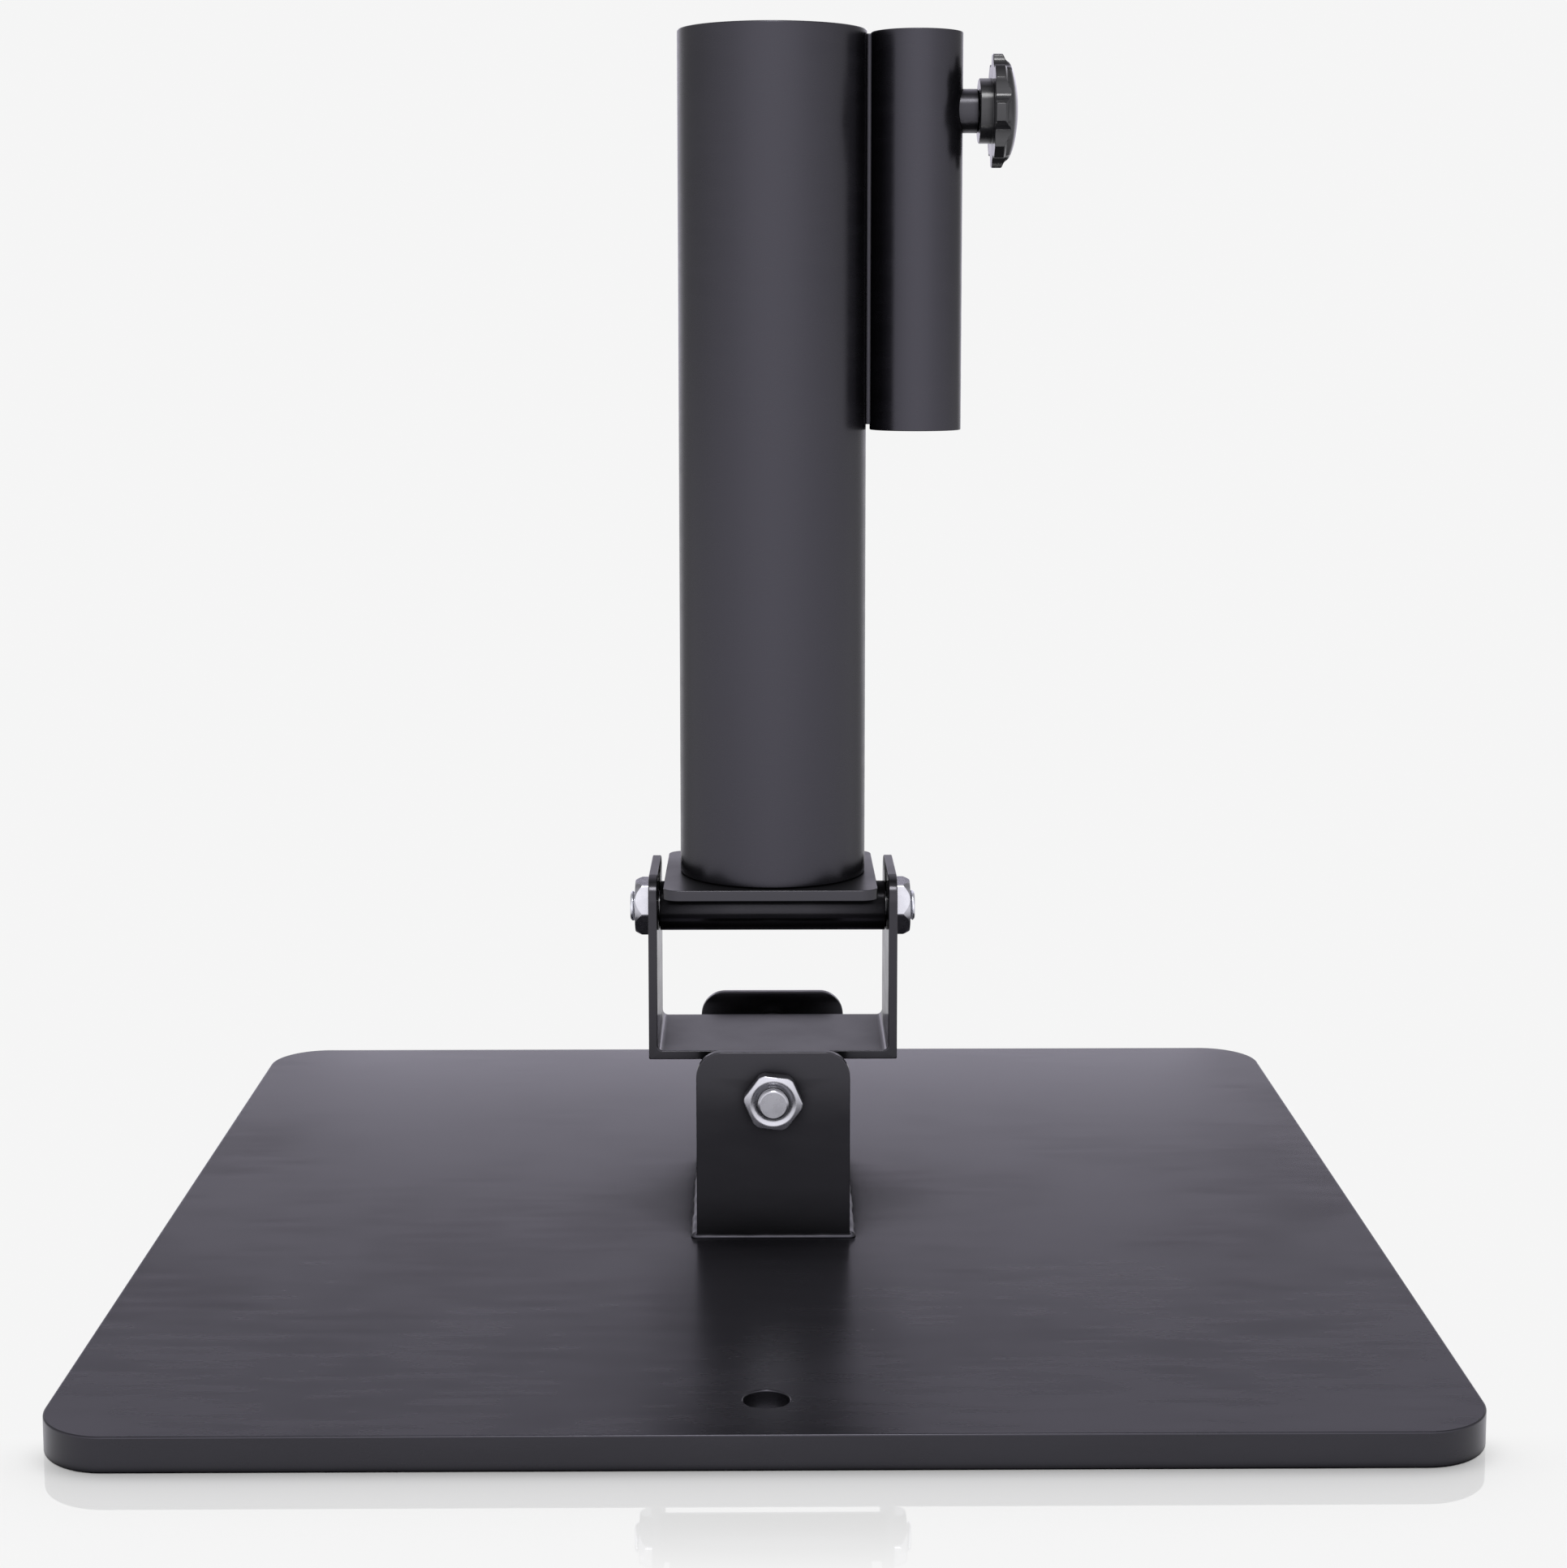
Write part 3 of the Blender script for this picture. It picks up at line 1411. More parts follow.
@dataclass
class SeamWeld:
    """The weld in a groove between the main tube and the side tube.

    Args:
        root: Where the weld starts in the groove, measured from the plane of the tubes' axes.
        depth: Where its front meets the tubes.
        bow: How far the front bows out between them.
        ripple: Height of the front's ripples.
        ripples: Wavelengths of the ripples.
        phase: Where the ripples start.
        rows: Sections along the weld.
        side_points: Points of a section on each tube.
        front_facets: Facets of a section's front.
    """

    root: float = 0.3 * MM
    depth: float = 2.8 * MM
    bow: float = 0.12 * MM
    ripple: float = 0.05 * MM
    ripples: tuple[float, ...] = (1.6 * MM, 5.3 * MM, 17.0 * MM)
    phase: float = 2.1
    rows: int = 240
    side_points: int = 6
    front_facets: int = 8

    def mesh(self, node: str, side: int) -> bpy.types.Mesh:
        """The weld, its front rippling along the tubes.

        At a depth y the groove reaches from the main tube's circle to the side tube's circle.

        Args:
            node: The weld's node.
            side: -1 for the front and 1 for the back.

        Returns:
            The mesh.
        """
        main, slim, weld = NodeBox("main_tube"), NodeBox("side_tube"), NodeBox(node)
        depth = np.linspace(self.root, self.depth, self.side_points)
        left = main.centre[0] + np.sqrt((main.size[0] / 2) ** 2 - depth**2)
        right = slim.centre[0] - np.sqrt((slim.size[0] / 2) ** 2 - depth**2)
        share = np.linspace(0.0, 1.0, self.front_facets + 1)[1:-1]
        front = left[-1] + share * (right[-1] - left[-1])
        sideways = np.concatenate([left, front, right[::-1]])
        out = np.concatenate([depth, self.depth + self.bow * np.sin(np.pi * share), depth[::-1]])
        moves = np.concatenate([depth == self.depth, share > 0, depth[::-1] == self.depth])
        height = np.linspace(weld.low[2], weld.high[2], self.rows)[:, None]
        out = out + self.ripple * waves(height, self.ripples, self.phase) * moves
        place = np.stack([
            np.broadcast_to(sideways, out.shape), main.centre[1] + side * out,
            np.broadcast_to(height, out.shape),
        ], axis=-1)
        caps = [np.broadcast_to(place[row].mean(axis=0), place[:1].shape) for row in (0, -1)]
        return Skin(node).add(np.concatenate([caps[0], place, caps[1]]), wrap_columns=True).mesh()


@dataclass
class BarHolder:
    """The upper sleeve, the foot plate, the main tube, the side tube, their welds and the boss.

    Args:
        tube_wall: Wall of the main tube.
        tube_rim: Radius of its rims.
        tube_segments: Facets round it.
        side_wall: Wall of the side tube.
        side_rim: Radius of its rims.
        side_segments: Facets round it.
        foot_corner: Radius of the foot plate's corners.
        foot_edge: Radius of its edges.
        corner_facets: Facets of its corners.
        side_facets: Facets of its sides.
        seat: Gap that the frame leaves between the main tube and the foot plate.
        boss_bore: Radius of the boss's bore and of the hole behind it.
        bore_segments: Facets round the bore.
        boss_gap: How far the boss reaches into the side tube's surface.
        boss_edges: Radii of the boss's edges: bore and outside at the tube, outside and bore in front.
        boss_segments: Facets round the boss.
        upper: The upper pivot, whose sleeve the bar holder tilts on.
        seam_weld: The shape of the welds between the tubes.
    """

    tube_wall: float = 3.5 * MM
    tube_rim: float = 0.55 * MM
    tube_segments: int = 224
    side_wall: float = 1.6 * MM
    side_rim: float = 0.3 * MM
    side_segments: int = 160
    foot_corner: float = 5.0 * MM
    foot_edge: float = 0.3 * MM
    corner_facets: int = 12
    side_facets: int = 4
    seat: float = 0.3 * MM
    boss_bore: float = 4.0 * MM
    bore_segments: int = 48
    boss_gap: float = 0.05 * MM
    boss_edges: tuple[float, ...] = (0.0, 0.15 * MM, 0.35 * MM, 0.2 * MM)
    boss_segments: int = 96
    upper: Pivot = field(default_factory=lambda: Pivot("upper", 0))
    seam_weld: SeamWeld = field(default_factory=SeamWeld)

    def build(self) -> None:
        """Builds and dresses every piece of the bar holder."""
        dress("upper_sleeve", self.upper.sleeve(), FRAME_COAT)
        dress("foot_plate", self.foot_plate(), FRAME_COAT)
        for node, side in (("upper_sleeve_weld_front", -1), ("upper_sleeve_weld_rear", 1)):
            dress(node, self.upper.sleeve_weld(node, "foot_plate", side), WELD_COAT)
        dress("main_tube", self.main_tube(), TUBE_COAT)
        dress("side_tube", self.side_tube(), TUBE_COAT)
        for node, side in (("side_tube_weld_front", -1), ("side_tube_weld_rear", 1)):
            dress(node, self.seam_weld.mesh(node, side), WELD_COAT)
        dress("clamp_boss", self.boss(), BOSS_COAT)

    def foot_plate(self) -> bpy.types.Mesh:
        """The foot plate: rings of its outline, closed to a point in the middle of each face.

        Returns:
            The mesh.
        """
        box = NodeBox("foot_plate")
        outline, normals = rounded_rectangle(
            *box.size[:2], self.foot_corner, self.corner_facets, self.side_facets
        )
        profile = edge_profile(box.size[2], self.foot_edge, 4 * self.foot_edge)
        ground = np.array([*box.centre[:2], box.low[2]])
        rim = flat_rings(outline, normals, profile, ground)
        lower = np.broadcast_to(ground, rim[:1].shape)
        upper = lower + np.array([0.0, 0.0, box.size[2]])
        return Skin("foot_plate").add(np.concatenate([lower, rim, upper]), wrap_columns=True).mesh()

    def main_tube(self) -> bpy.types.Mesh:
        """The main tube, seated on the foot plate.

        Returns:
            The mesh.
        """
        box = NodeBox("main_tube")
        pipe = Pipe(box.size[0] / 2, self.tube_wall, self.tube_rim, self.tube_segments)
        axis_foot = np.array([*box.centre[:2], 0.0])
        return pipe.mesh("main_tube", box.low[2] - self.seat, box.high[2], axis_foot, Axis.Z)

    def side_tube(self) -> bpy.types.Mesh:
        """The side tube, with the hole that the clamp screw goes through.

        Returns:
            The mesh.
        """
        box, screw = NodeBox("side_tube"), NodeBox("clamp_screw")
        pipe = Pipe(box.size[0] / 2, self.side_wall, self.side_rim, self.side_segments)
        axis_foot = np.array([*box.centre[:2], 0.0])
        tube = pipe.mesh("side_tube", box.low[2], box.high[2], axis_foot, Axis.Z)
        reach = box.size[0]
        bar = np.array([[0.0, 0.0], [self.boss_bore, 0.0], [self.boss_bore, reach], [0.0, reach]])
        centre = np.array([*box.centre[:2], screw.centre[2]])
        return cut(tube, lathe("hole", bar, self.bore_segments, centre, Axis.X))

    def boss(self) -> bpy.types.Mesh:
        """The threaded boss, its inner end coped to the side tube.

        At a radius r and an angle t the coped end stands at sqrt(R^2 - (r cos t)^2) from the
        tube's axis, with R the tube's radius.

        Returns:
            The mesh.
        """
        tube, box, screw = NodeBox("side_tube"), NodeBox("clamp_boss"), NodeBox("clamp_screw")
        angle = circle(self.boss_segments)
        outer, big = box.size[1] / 2, tube.size[0] / 2
        end = box.high[0] - tube.centre[0]
        radii = np.array([self.boss_bore, outer, outer, self.boss_bore])[:, None]
        coped = np.sqrt(big**2 - (radii[:2] * np.cos(angle)) ** 2) - self.boss_gap
        heights = np.concatenate([coped, np.full((2, angle.size), end)])
        profile = eased_profiles(np.broadcast_to(radii, heights.shape), heights, self.boss_edges)
        centre = np.array([*tube.centre[:2], screw.centre[2]])
        return closed_ring("clamp_boss", revolve(*profile.transpose(2, 0, 1), angle, centre, Axis.X))


@dataclass
class StarClamp:
    """The clamp screw and the star knob on it.

    Args:
        screw_radius: Radius of the screw.
        screw_pitch: Advance of its thread in a turn.
        screw_chamfer: Size of its tips' chamfer.
        thread_depth: Depth of its thread.
        socket_gap: Play of the screw in the knob.
        socket_depth: How far the screw reaches into the knob.
        hub_radius: Radius of the hub.
        hub_length: Length of the hub.
        rim_thickness: Thickness of the lobed rim.
        chamfer_depth: Depth of the slope between rim and dome.
        dome_radius: Radius of the dome's edge.
        lobes: Number of lobes.
        groove_depth: Depth of the hollows between the lobes.
        groove_share: Share of the rim that the hollows take.
        lobe_blend: Length over which a hollow turns into a lobe.
        shoulder: Width of the strip that ends the rim's edge in front.
        socket_edge: Radius at the socket's mouth.
        hub_edge: Radius of the hub's edge.
        hub_fillet: Radius between the hub and the flat back.
        back_edge: Radius of the rim's back edge.
        front_edge: Radius of its front edge.
        turn: How far the knob is turned.
        segments: Facets round the knob.
        dome_rings: Rings of points on the dome.
    """

    screw_radius: float = 3.7 * MM
    screw_pitch: float = 1.25 * MM
    screw_chamfer: float = 0.8 * MM
    thread_depth: float = 0.42 * MM
    socket_gap: float = 0.3 * MM
    socket_depth: float = 6.0 * MM
    hub_radius: float = 10.2 * MM
    hub_length: float = 4.2 * MM
    rim_thickness: float = 3.1 * MM
    chamfer_depth: float = 1.0 * MM
    dome_radius: float = 15.7 * MM
    lobes: int = 8
    groove_depth: float = 2.6 * MM
    groove_share: float = 0.578
    lobe_blend: float = 0.25 * MM
    shoulder: float = 0.9 * MM
    socket_edge: float = 0.2 * MM
    hub_edge: float = 0.35 * MM
    hub_fillet: float = 0.3 * MM
    back_edge: float = 0.35 * MM
    front_edge: float = 0.45 * MM
    turn: float = math.radians(5.2)
    segments: int = 384
    dome_rings: int = 40

    def build(self) -> None:
        """Builds and dresses the screw and the knob."""
        dress("clamp_screw", self.screw(), ZINC)
        dress("clamp_knob", self.knob(), KNOB_PLASTIC)

    def screw(self) -> bpy.types.Mesh:
        """The clamp screw, threaded all along.

        Returns:
            The mesh.
        """
        box = NodeBox("clamp_screw")
        half = box.size[0] / 2
        stud = ThreadedStud(
            self.screw_radius, self.screw_pitch, self.screw_chamfer, self.thread_depth, half
        )
        return stud.mesh("clamp_screw", -half, half, box.centre, Axis.X)

    def outline(self, angle: Array, rim: float) -> Array:
        """The knob's radius by angle: the rim's circle, hollowed by a round groove between lobes.

        A groove is a circle outside the rim. Seen from the axis at an angle d from the groove's
        middle, it starts at c cos(d) - sqrt(g^2 - (c sin(d))^2), with c its centre's distance
        and g its radius.

        Args:
            angle: Angles round the axis.
            rim: Radius over the lobes.

        Returns:
            The radius at each angle.
        """
        pitch = 2 * np.pi / self.lobes
        half_angle = self.groove_share * pitch / 2
        half_chord = rim * math.sin(half_angle)
        sag = self.groove_depth - rim * (1 - math.cos(half_angle))
        groove = (half_chord**2 + sag**2) / (2 * sag)
        distance = rim - self.groove_depth + groove
        off = (angle - self.turn) % pitch - pitch / 2
        under_root = groove**2 - (distance * np.sin(off)) ** 2
        start = distance * np.cos(off) - np.sqrt(np.maximum(under_root, 0.0))
        hollow = np.where(under_root > 0, start, 2 * rim)
        return smooth_least(hollow, rim, self.lobe_blend)

    def front(self, radius: Array, rim: float) -> Array:
        """Height of the knob's front by radius: an elliptic dome, then a straight slope to the rim.

        Args:
            radius: Distances from the axis.
            rim: Radius over the lobes.

        Returns:
            The height at each distance.
        """
        slope_top = self.hub_length + self.rim_thickness + self.chamfer_depth
        crown = NodeBox("clamp_knob").size[0] - slope_top
        share = np.clip(radius / self.dome_radius, 0.0, 1.0)
        dome = slope_top + crown * np.sqrt(1 - share**2)
        beyond = np.clip((radius - self.dome_radius) / (rim - self.dome_radius), 0.0, 1.0)
        return np.where(radius < self.dome_radius, dome, slope_top - self.chamfer_depth * beyond)

    def knob(self) -> bpy.types.Mesh:
        """The star knob: hub, flat back, lobed rim and domed front as one profile for each angle.

        Returns:
            The mesh.
        """
        box = NodeBox("clamp_knob")
        rim = box.size[2] / 2
        angle = circle(self.segments)
        edge = self.outline(angle, rim)
        shoulder = edge - self.shoulder
        zero = np.zeros_like(edge)
        socket, hub = zero + self.screw_radius + self.socket_gap, zero + self.hub_radius
        floor, back = zero + self.socket_depth, zero + self.hub_length
        radii = [zero, socket, socket, hub, hub, edge, edge, shoulder]
        heights = [floor, floor, zero, zero, back, back, self.front(edge, rim),
                   self.front(shoulder, rim)]
        eased = [0.0, 0.0, self.socket_edge, self.hub_edge, self.hub_fillet, self.back_edge,
                 self.front_edge, 0.0]
        body = eased_profiles(radii, heights, eased)
        share = np.sin(np.linspace(np.pi / 2, 0.0, self.dome_rings))[:, None]
        dome_radius = share * shoulder
        dome = np.stack([dome_radius, self.front(dome_radius, rim)], axis=-1)
        profile = np.concatenate([body, dome])
        centre = np.array([box.low[0], NodeBox("clamp_screw").centre[1], box.centre[2]])
        return closed_ring("clamp_knob", revolve(*profile.transpose(2, 0, 1), angle, centre, Axis.X))


class StudioSheet(NodeSheet):
    """A node tree of the studio, whose levels depend on the direction and on the kind of ray."""

    def compass(self, parts: Sequence[bpy.types.NodeSocket]) -> bpy.types.NodeSocket:
        """Degrees from the front, alike to the left and right: the arctangent of |x| over -y.

        Args:
            parts: The direction's x and y.

        Returns:
            The angle.
        """
        sideways = self.math("ABSOLUTE", parts[0])
        forward = self.math("MULTIPLY", parts[1], -1.0)
        return self.math("DEGREES", self.math("ARCTAN2", sideways, forward))

    def rays(self) -> tuple[bpy.types.NodeSocket, bpy.types.NodeSocket]:
        """Whether a ray shows the plain background, and whether it comes from satin gloss."""
        rays = self.add("LightPath").outputs
        return self.math("MAXIMUM", rays["Is Camera Ray"], rays["Is Singular Ray"]), rays["Is Glossy Ray"]


@dataclass
class ViewCamera:
    """The camera of the photograph.

    Args:
        image_width: Width of the photograph, in pixels.
        image_height: Height of the photograph, in pixels.
        focal_pixels: Focal length, in pixels of the photograph.
        view_middle: Where the camera's axis meets the photograph, in pixels.
        place: Place of the camera.
        pitch: How far the camera looks down.
        yaw: How far it looks to the right.
        sensor: Width of the camera's sensor, in millimetres.
    """

    image_width: float = 1931.0
    image_height: float = 1932.0
    focal_pixels: float = 3309.3
    view_middle: tuple[float, float] = (972.01, 782.73)
    place: tuple[float, float, float] = (-0.00085, -0.85855, 0.29847)
    pitch: float = math.radians(6.673)
    yaw: float = math.radians(0.567)
    sensor: float = 36.0

    def build(self) -> None:
        """Puts the camera at the photograph's viewing angle."""
        data = bpy.data.cameras.new("camera")
        data.sensor_fit = "HORIZONTAL"
        data.sensor_width = self.sensor
        data.lens = self.focal_pixels / self.image_width * self.sensor
        data.shift_x = (self.image_width / 2 - self.view_middle[0]) / self.image_width
        data.shift_y = (self.view_middle[1] - self.image_height / 2) / self.image_width
        camera = bpy.data.objects.new("camera", data)
        camera.location = self.place
        camera.rotation_euler = (math.pi / 2 - self.pitch, 0.0, -self.yaw)
        bpy.context.scene.collection.objects.link(camera)
        bpy.context.scene.camera = camera


@dataclass
class Surroundings:
    """The surroundings: plain and pale to the eye, even for light, a soft studio for gloss.

    Levels are listed by degrees from the front, or by degrees above the horizon.

    Args:
        even_light: Level of the light on matt surfaces.
        backdrop_tint: Colour of the backdrop.
        sky: Levels above the horizon, by direction.
        horizon: Levels at the horizon, by direction.
        horizon_fade: Height at which the sky's levels have taken over.
        heights: Share of those levels that is left, by height.
        backdrop: Levels behind the object, by height.
        backdrop_sides: Direction where the backdrop starts and where it stands alone.
        panel_half: Half the width of the backdrop's middle.
        panel_rise: How much higher the middle reaches.
        panel_soft: Half the width of the change between them.
    """

    even_light: float = 0.805
    backdrop_tint: Colour = (1.025, 0.986, 1.149)
    sky: Levels = (
        (0.0, 2.03), (10.0, 1.95), (22.0, 1.83), (34.0, 1.61), (46.0, 1.35), (59.0, 1.17), (73.0, 1.0),
        (88.0, 0.77), (106.0, 0.54), (130.0, 0.37), (141.0, 0.5), (152.0, 0.8), (180.0, 0.9),
    )
    horizon: Levels = (
        (0.0, 1.72), (23.0, 1.7), (35.0, 1.55), (48.0, 1.42), (61.0, 1.25), (75.0, 1.1), (90.0, 0.86),
        (108.0, 0.62), (133.0, 0.39), (141.0, 0.5), (152.0, 0.8), (180.0, 0.9),
    )
    horizon_fade: float = 3.0
    heights: Levels = ((0.0, 1.0), (25.0, 1.0), (45.0, 0.8), (70.0, 0.4), (90.0, 0.3))
    backdrop: Levels = (
        (0.0, 0.88), (5.0, 0.88), (8.0, 1.25), (11.0, 1.75), (13.5, 1.85), (15.2, 1.35), (16.0, 0.2),
        (18.0, 0.12), (22.0, 0.12), (26.0, 0.3), (33.0, 0.95), (42.0, 1.0), (60.0, 0.75), (90.0, 0.3),
    )
    backdrop_sides: Range = (146.0, 160.0)
    panel_half: float = 9.5
    panel_rise: float = 1.3
    panel_soft: float = 0.4

    def build(self) -> None:
        """Writes the world.

        In front and at the sides the studio's level depends on the direction. Behind the object
        it depends on the height, as a lit backdrop under a dark ceiling gives it.
        """
        world = bpy.data.worlds.new("studio")
        bpy.context.scene.world = world
        world.use_nodes = True
        sheet = StudioSheet(world.node_tree)
        parts = sheet.add("SeparateXYZ", {0: sheet.add("TexCoord").outputs["Generated"]}).outputs
        compass = sheet.compass(parts)
        height = sheet.math("DEGREES", sheet.math("ARCSINE", parts[2]))
        behind = sheet.span(compass, self.backdrop_sides)
        around = self.around(sheet, compass, height)
        studio = sheet.between(behind, around, self.behind(sheet, compass, height))
        seen, glossy = sheet.rays()
        lit = sheet.between(glossy, self.even_light, studio)
        strength = sheet.between(seen, lit, BACKGROUND)
        plain = sheet.math("MAXIMUM", seen, sheet.math("SUBTRACT", 1.0, glossy))
        colour = sheet.mixed(behind, solid(STUDIO_TINT), solid(self.backdrop_tint))
        colour = sheet.mixed(plain, colour, solid(WHITE))
        shader = sheet.add("Background", {"Color": colour, "Strength": strength})
        sheet.add("OutputWorld", {"Surface": shader.outputs[0]})

    def around(self, sheet: StudioSheet, compass: bpy.types.NodeSocket,
               height: bpy.types.NodeSocket) -> bpy.types.NodeSocket:
        """The level in front and at the sides.

        Args:
            sheet: The world's tree.
            compass: Degrees from the front.
            height: Degrees above the horizon.

        Returns:
            The level.
        """
        sky = sheet.curve(compass, self.sky, HALF_TURN, BRIGHTEST)
        horizon = sheet.curve(compass, self.horizon, HALF_TURN, BRIGHTEST)
        level = sheet.between(sheet.span(height, (0.0, self.horizon_fade)), horizon, sky)
        above = sheet.math("MAXIMUM", height, 0.0)
        return sheet.math("MULTIPLY", level, sheet.curve(above, self.heights, HALF_TURN / 2, 1.0))

    def behind(self, sheet: StudioSheet, compass: bpy.types.NodeSocket,
               height: bpy.types.NodeSocket) -> bpy.types.NodeSocket:
        """The backdrop's level, whose middle reaches a little higher than its sides.

        Args:
            sheet: The world's tree.
            compass: Degrees from the front.
            height: Degrees above the horizon.

        Returns:
            The level.
        """
        edge = HALF_TURN - self.panel_half
        sides = (edge - self.panel_soft, edge + self.panel_soft)
        rise = sheet.span(compass, sides, (self.panel_rise, 0.0))
        lifted = sheet.math("MAXIMUM", sheet.math("ADD", height, rise), 0.0)
        return sheet.curve(lifted, self.backdrop, HALF_TURN / 2, BRIGHTEST)


@dataclass
class FrontLamp:
    """A soft lamp above the camera. Its power is four times its level times its area.

    Args:
        angle: Height of the lamp above the horizon, seen from the object.
        distance: Distance of the lamp from the object.
        size: Width and height of the lamp.
        level: Level of its light.
    """

    angle: float = math.radians(56)
    distance: float = 2.0
    size: tuple[float, float] = (0.5, 0.46)
    level: float = 14.0

    def build(self) -> None:
        """Hangs the lamp."""
        data = bpy.data.lights.new("front_lamp", "AREA")
        data.shape = "RECTANGLE"
        data.size, data.size_y = self.size
        data.energy = 4 * self.level * self.size[0] * self.size[1]
        lamp = bpy.data.objects.new("front_lamp", data)
        forward, up = math.cos(self.angle), math.sin(self.angle)
        middle = NodeBox("main_tube").centre[2]
        lamp.location = (0.0, -self.distance * forward, self.distance * up + middle)
        lamp.rotation_euler = (math.pi / 2 - self.angle, 0.0, 0.0)
        bpy.context.scene.collection.objects.link(lamp)


@dataclass
class Floor:
    """A large pale floor that keeps the contact shadow and a faint mirror image.

    In front of the plate it is an evenly lit satin board. Everywhere else it is as plain as the
    background, and satin gloss sees it grow brighter with its distance.

    Args:
        size: Length of the floor's sides.
        gloss: Share of the mirror image on the board.
        colour: Colour of the board.
        contact_reach: How far the contact shadow reaches.
        contact_open: Shares of open surroundings where it is darkest and where it ends.
        contact_shade: Share of the board's colour that is left where it is darkest.
        board_fade: Distances from the plate where the board starts to fade and where it has ended.
        levels: Levels that gloss sees, by degrees from the front.
        near_levels: Share of those levels, by distance from the middle in metres.
    """

    size: float = 14.0
    gloss: float = 0.19
    colour: float = 0.885
    contact_reach: float = 8.0 * MM
    contact_open: Range = (0.5, 1.0)
    contact_shade: float = 0.78
    board_fade: Range = (24.0 * MM, 70.0 * MM)
    levels: Levels = (
        (0.0, 1.85), (23.0, 1.75), (35.0, 1.68), (48.0, 1.58), (61.0, 1.47), (76.0, 1.32), (92.0, 1.08),
        (111.0, 0.78), (138.0, 0.38), (152.0, 0.7), (180.0, 0.9),
    )
    near_levels: Levels = ((0.0, 0.6), (0.25, 0.64), (0.5, 0.84), (0.75, 0.9), (2.5, 1.0), (3.0, 1.0))

    def build(self) -> None:
        """Lays the floor."""
        half = self.size / 2
        corners = [(-half, -half, 0.0), (half, -half, 0.0), (half, half, 0.0), (-half, half, 0.0)]
        mesh = bpy.data.meshes.new("floor")
        mesh.from_pydata(corners, [], [(0, 1, 2, 3)])
        mesh.materials.append(self.material())
        floor = bpy.data.objects.new("floor", mesh)
        bpy.context.scene.collection.objects.link(floor)

    def material(self) -> bpy.types.Material:
        """The board and the plain floor, mixed by the distance from the plate.

        Returns:
            The material.
        """
        material = bpy.data.materials.new("studio_floor")
        material.use_nodes = True
        sheet = StudioSheet(material.node_tree)
        place = sheet.add("TexCoord").outputs["Object"]
        shaders = {1: self.board(sheet).outputs[0], 2: self.plain(sheet, place).outputs[0]}
        mixed = sheet.add("MixShader", {0: self.away(sheet, place), **shaders})
        sheet.add("OutputMaterial", {"Surface": mixed.outputs[0]})
        return material

    def away(self, sheet: StudioSheet, place: bpy.types.NodeSocket) -> bpy.types.NodeSocket:
        """How far a place has left the board: 0 on it, 1 beside the plate and behind its front.

        The distance from the plate is the length of max(|p - c| - h, 0), with c the plate's
        middle and h its half width and depth.

        Args:
            sheet: The floor's tree.
            place: Object coordinates.

        Returns:
            The share.
        """
        plate = NodeBox("base_plate")
        centre, half = (*plate.centre[:2], 0.0), (*plate.size[:2] / 2, 0.0)
        offset = sheet.vector("ABSOLUTE", sheet.vector("SUBTRACT", place, centre))
        offset = sheet.vector("MAXIMUM", sheet.vector("SUBTRACT", offset, half), (0.0, 0.0, 0.0))
        front = plate.low[1]
        depth = sheet.add("SeparateXYZ", {0: place}).outputs[1]
        beside = sheet.span(depth, (front, front + self.board_fade[0]))
        return sheet.math("MAXIMUM", sheet.span(sheet.length(offset), self.board_fade), beside)

    def board(self, sheet: StudioSheet) -> bpy.types.Node:
        """The board: a matt sheet with a contact shadow, under a thin sharp gloss.

        Args:
            sheet: The floor's tree.

        Returns:
            The shader node.
        """
        contact = sheet.openness(self.contact_reach, self.contact_open, (self.contact_shade, 1.0))
        colour = sheet.mixed(contact, solid(BLACK), solid((self.colour,) * 3))
        matt = sheet.add("BsdfDiffuse", {"Color": colour}).outputs[0]
        mirror = sheet.add("BsdfPrincipled", {
            "Base Color": solid(WHITE), "Metallic": 1.0, "Roughness": 0.0,
        }).outputs[0]
        return sheet.add("MixShader", {0: self.gloss, 1: matt, 2: mirror})

    def plain(self, sheet: StudioSheet, place: bpy.types.NodeSocket) -> bpy.types.Node:
        """The plain floor, as pale as the background, and a lit studio floor for satin gloss.

        Args:
            sheet: The floor's tree.
            place: Object coordinates.

        Returns:
            The shader node.
        """
        parts = sheet.add("SeparateXYZ", {0: place}).outputs
        ground = sheet.curve(sheet.compass(parts), self.levels, HALF_TURN, BRIGHTEST)
        furthest = self.near_levels[-1][0]
        reach = sheet.math("MINIMUM", sheet.length(place), furthest)
        ground = sheet.math("MULTIPLY", ground, sheet.curve(reach, self.near_levels, furthest, 1.0))
        seen, glossy = sheet.rays()
        satin = sheet.math("MULTIPLY", glossy, sheet.math("SUBTRACT", 1.0, seen))
        colour = sheet.mixed(satin, solid(WHITE), solid(STUDIO_TINT))
        strength = sheet.between(satin, BACKGROUND, ground)
        return sheet.add("Emission", {"Color": colour, "Strength": strength})


@dataclass
class Studio:
    """The pale floor, the soft studio light and the camera of the photograph.

    Args:
        camera: The camera.
        surroundings: The world.
        lamp: The lamp.
        floor: The floor.
    """

    camera: ViewCamera = field(default_factory=ViewCamera)
    surroundings: Surroundings = field(default_factory=Surroundings)
    lamp: FrontLamp = field(default_factory=FrontLamp)
    floor: Floor = field(default_factory=Floor)

    def build(self) -> None:
        """Builds the camera, the surroundings, the lamp and the floor."""
        bpy.context.scene.view_settings.view_transform = "Standard"
        for part in (self.camera, self.surroundings, self.lamp, self.floor):
            part.build()


def write_sizes() -> None:
    """Writes the frame's box and the finished model's box, as plain lists."""
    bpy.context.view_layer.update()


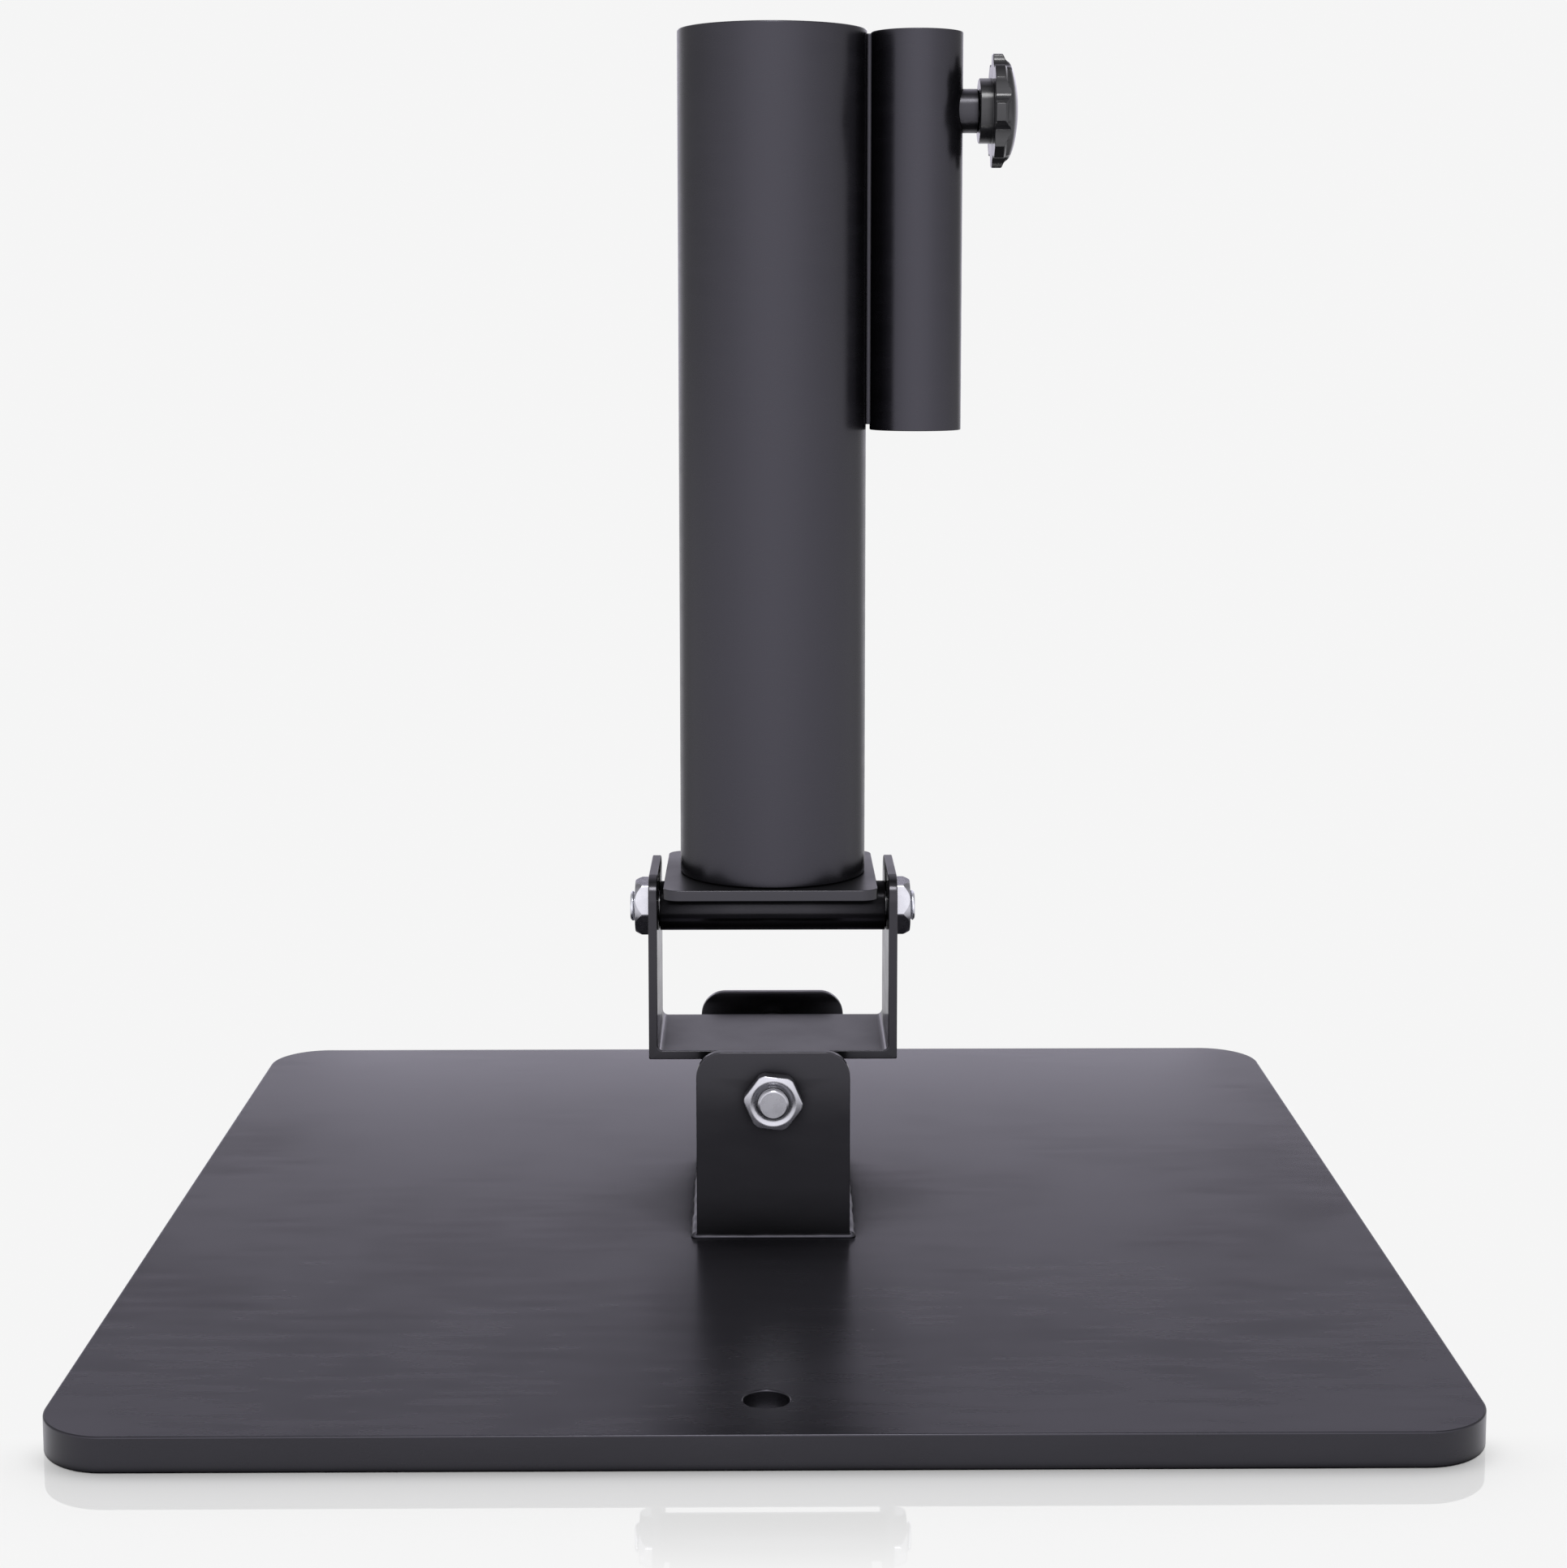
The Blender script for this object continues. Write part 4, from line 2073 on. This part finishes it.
def main() -> None:
    """Builds the studio and then the attachment, from the floor up."""
    logging.basicConfig(level=logging.INFO, format="%(name)s: %(message)s")
    Studio().build()
    for assembly in (Base(), SwingYoke(), BarHolder(), StarClamp()):
        LOG.info("building %s", type(assembly).__name__)
        assembly.build()
    write_sizes()


if __name__ == "__main__":
    main()
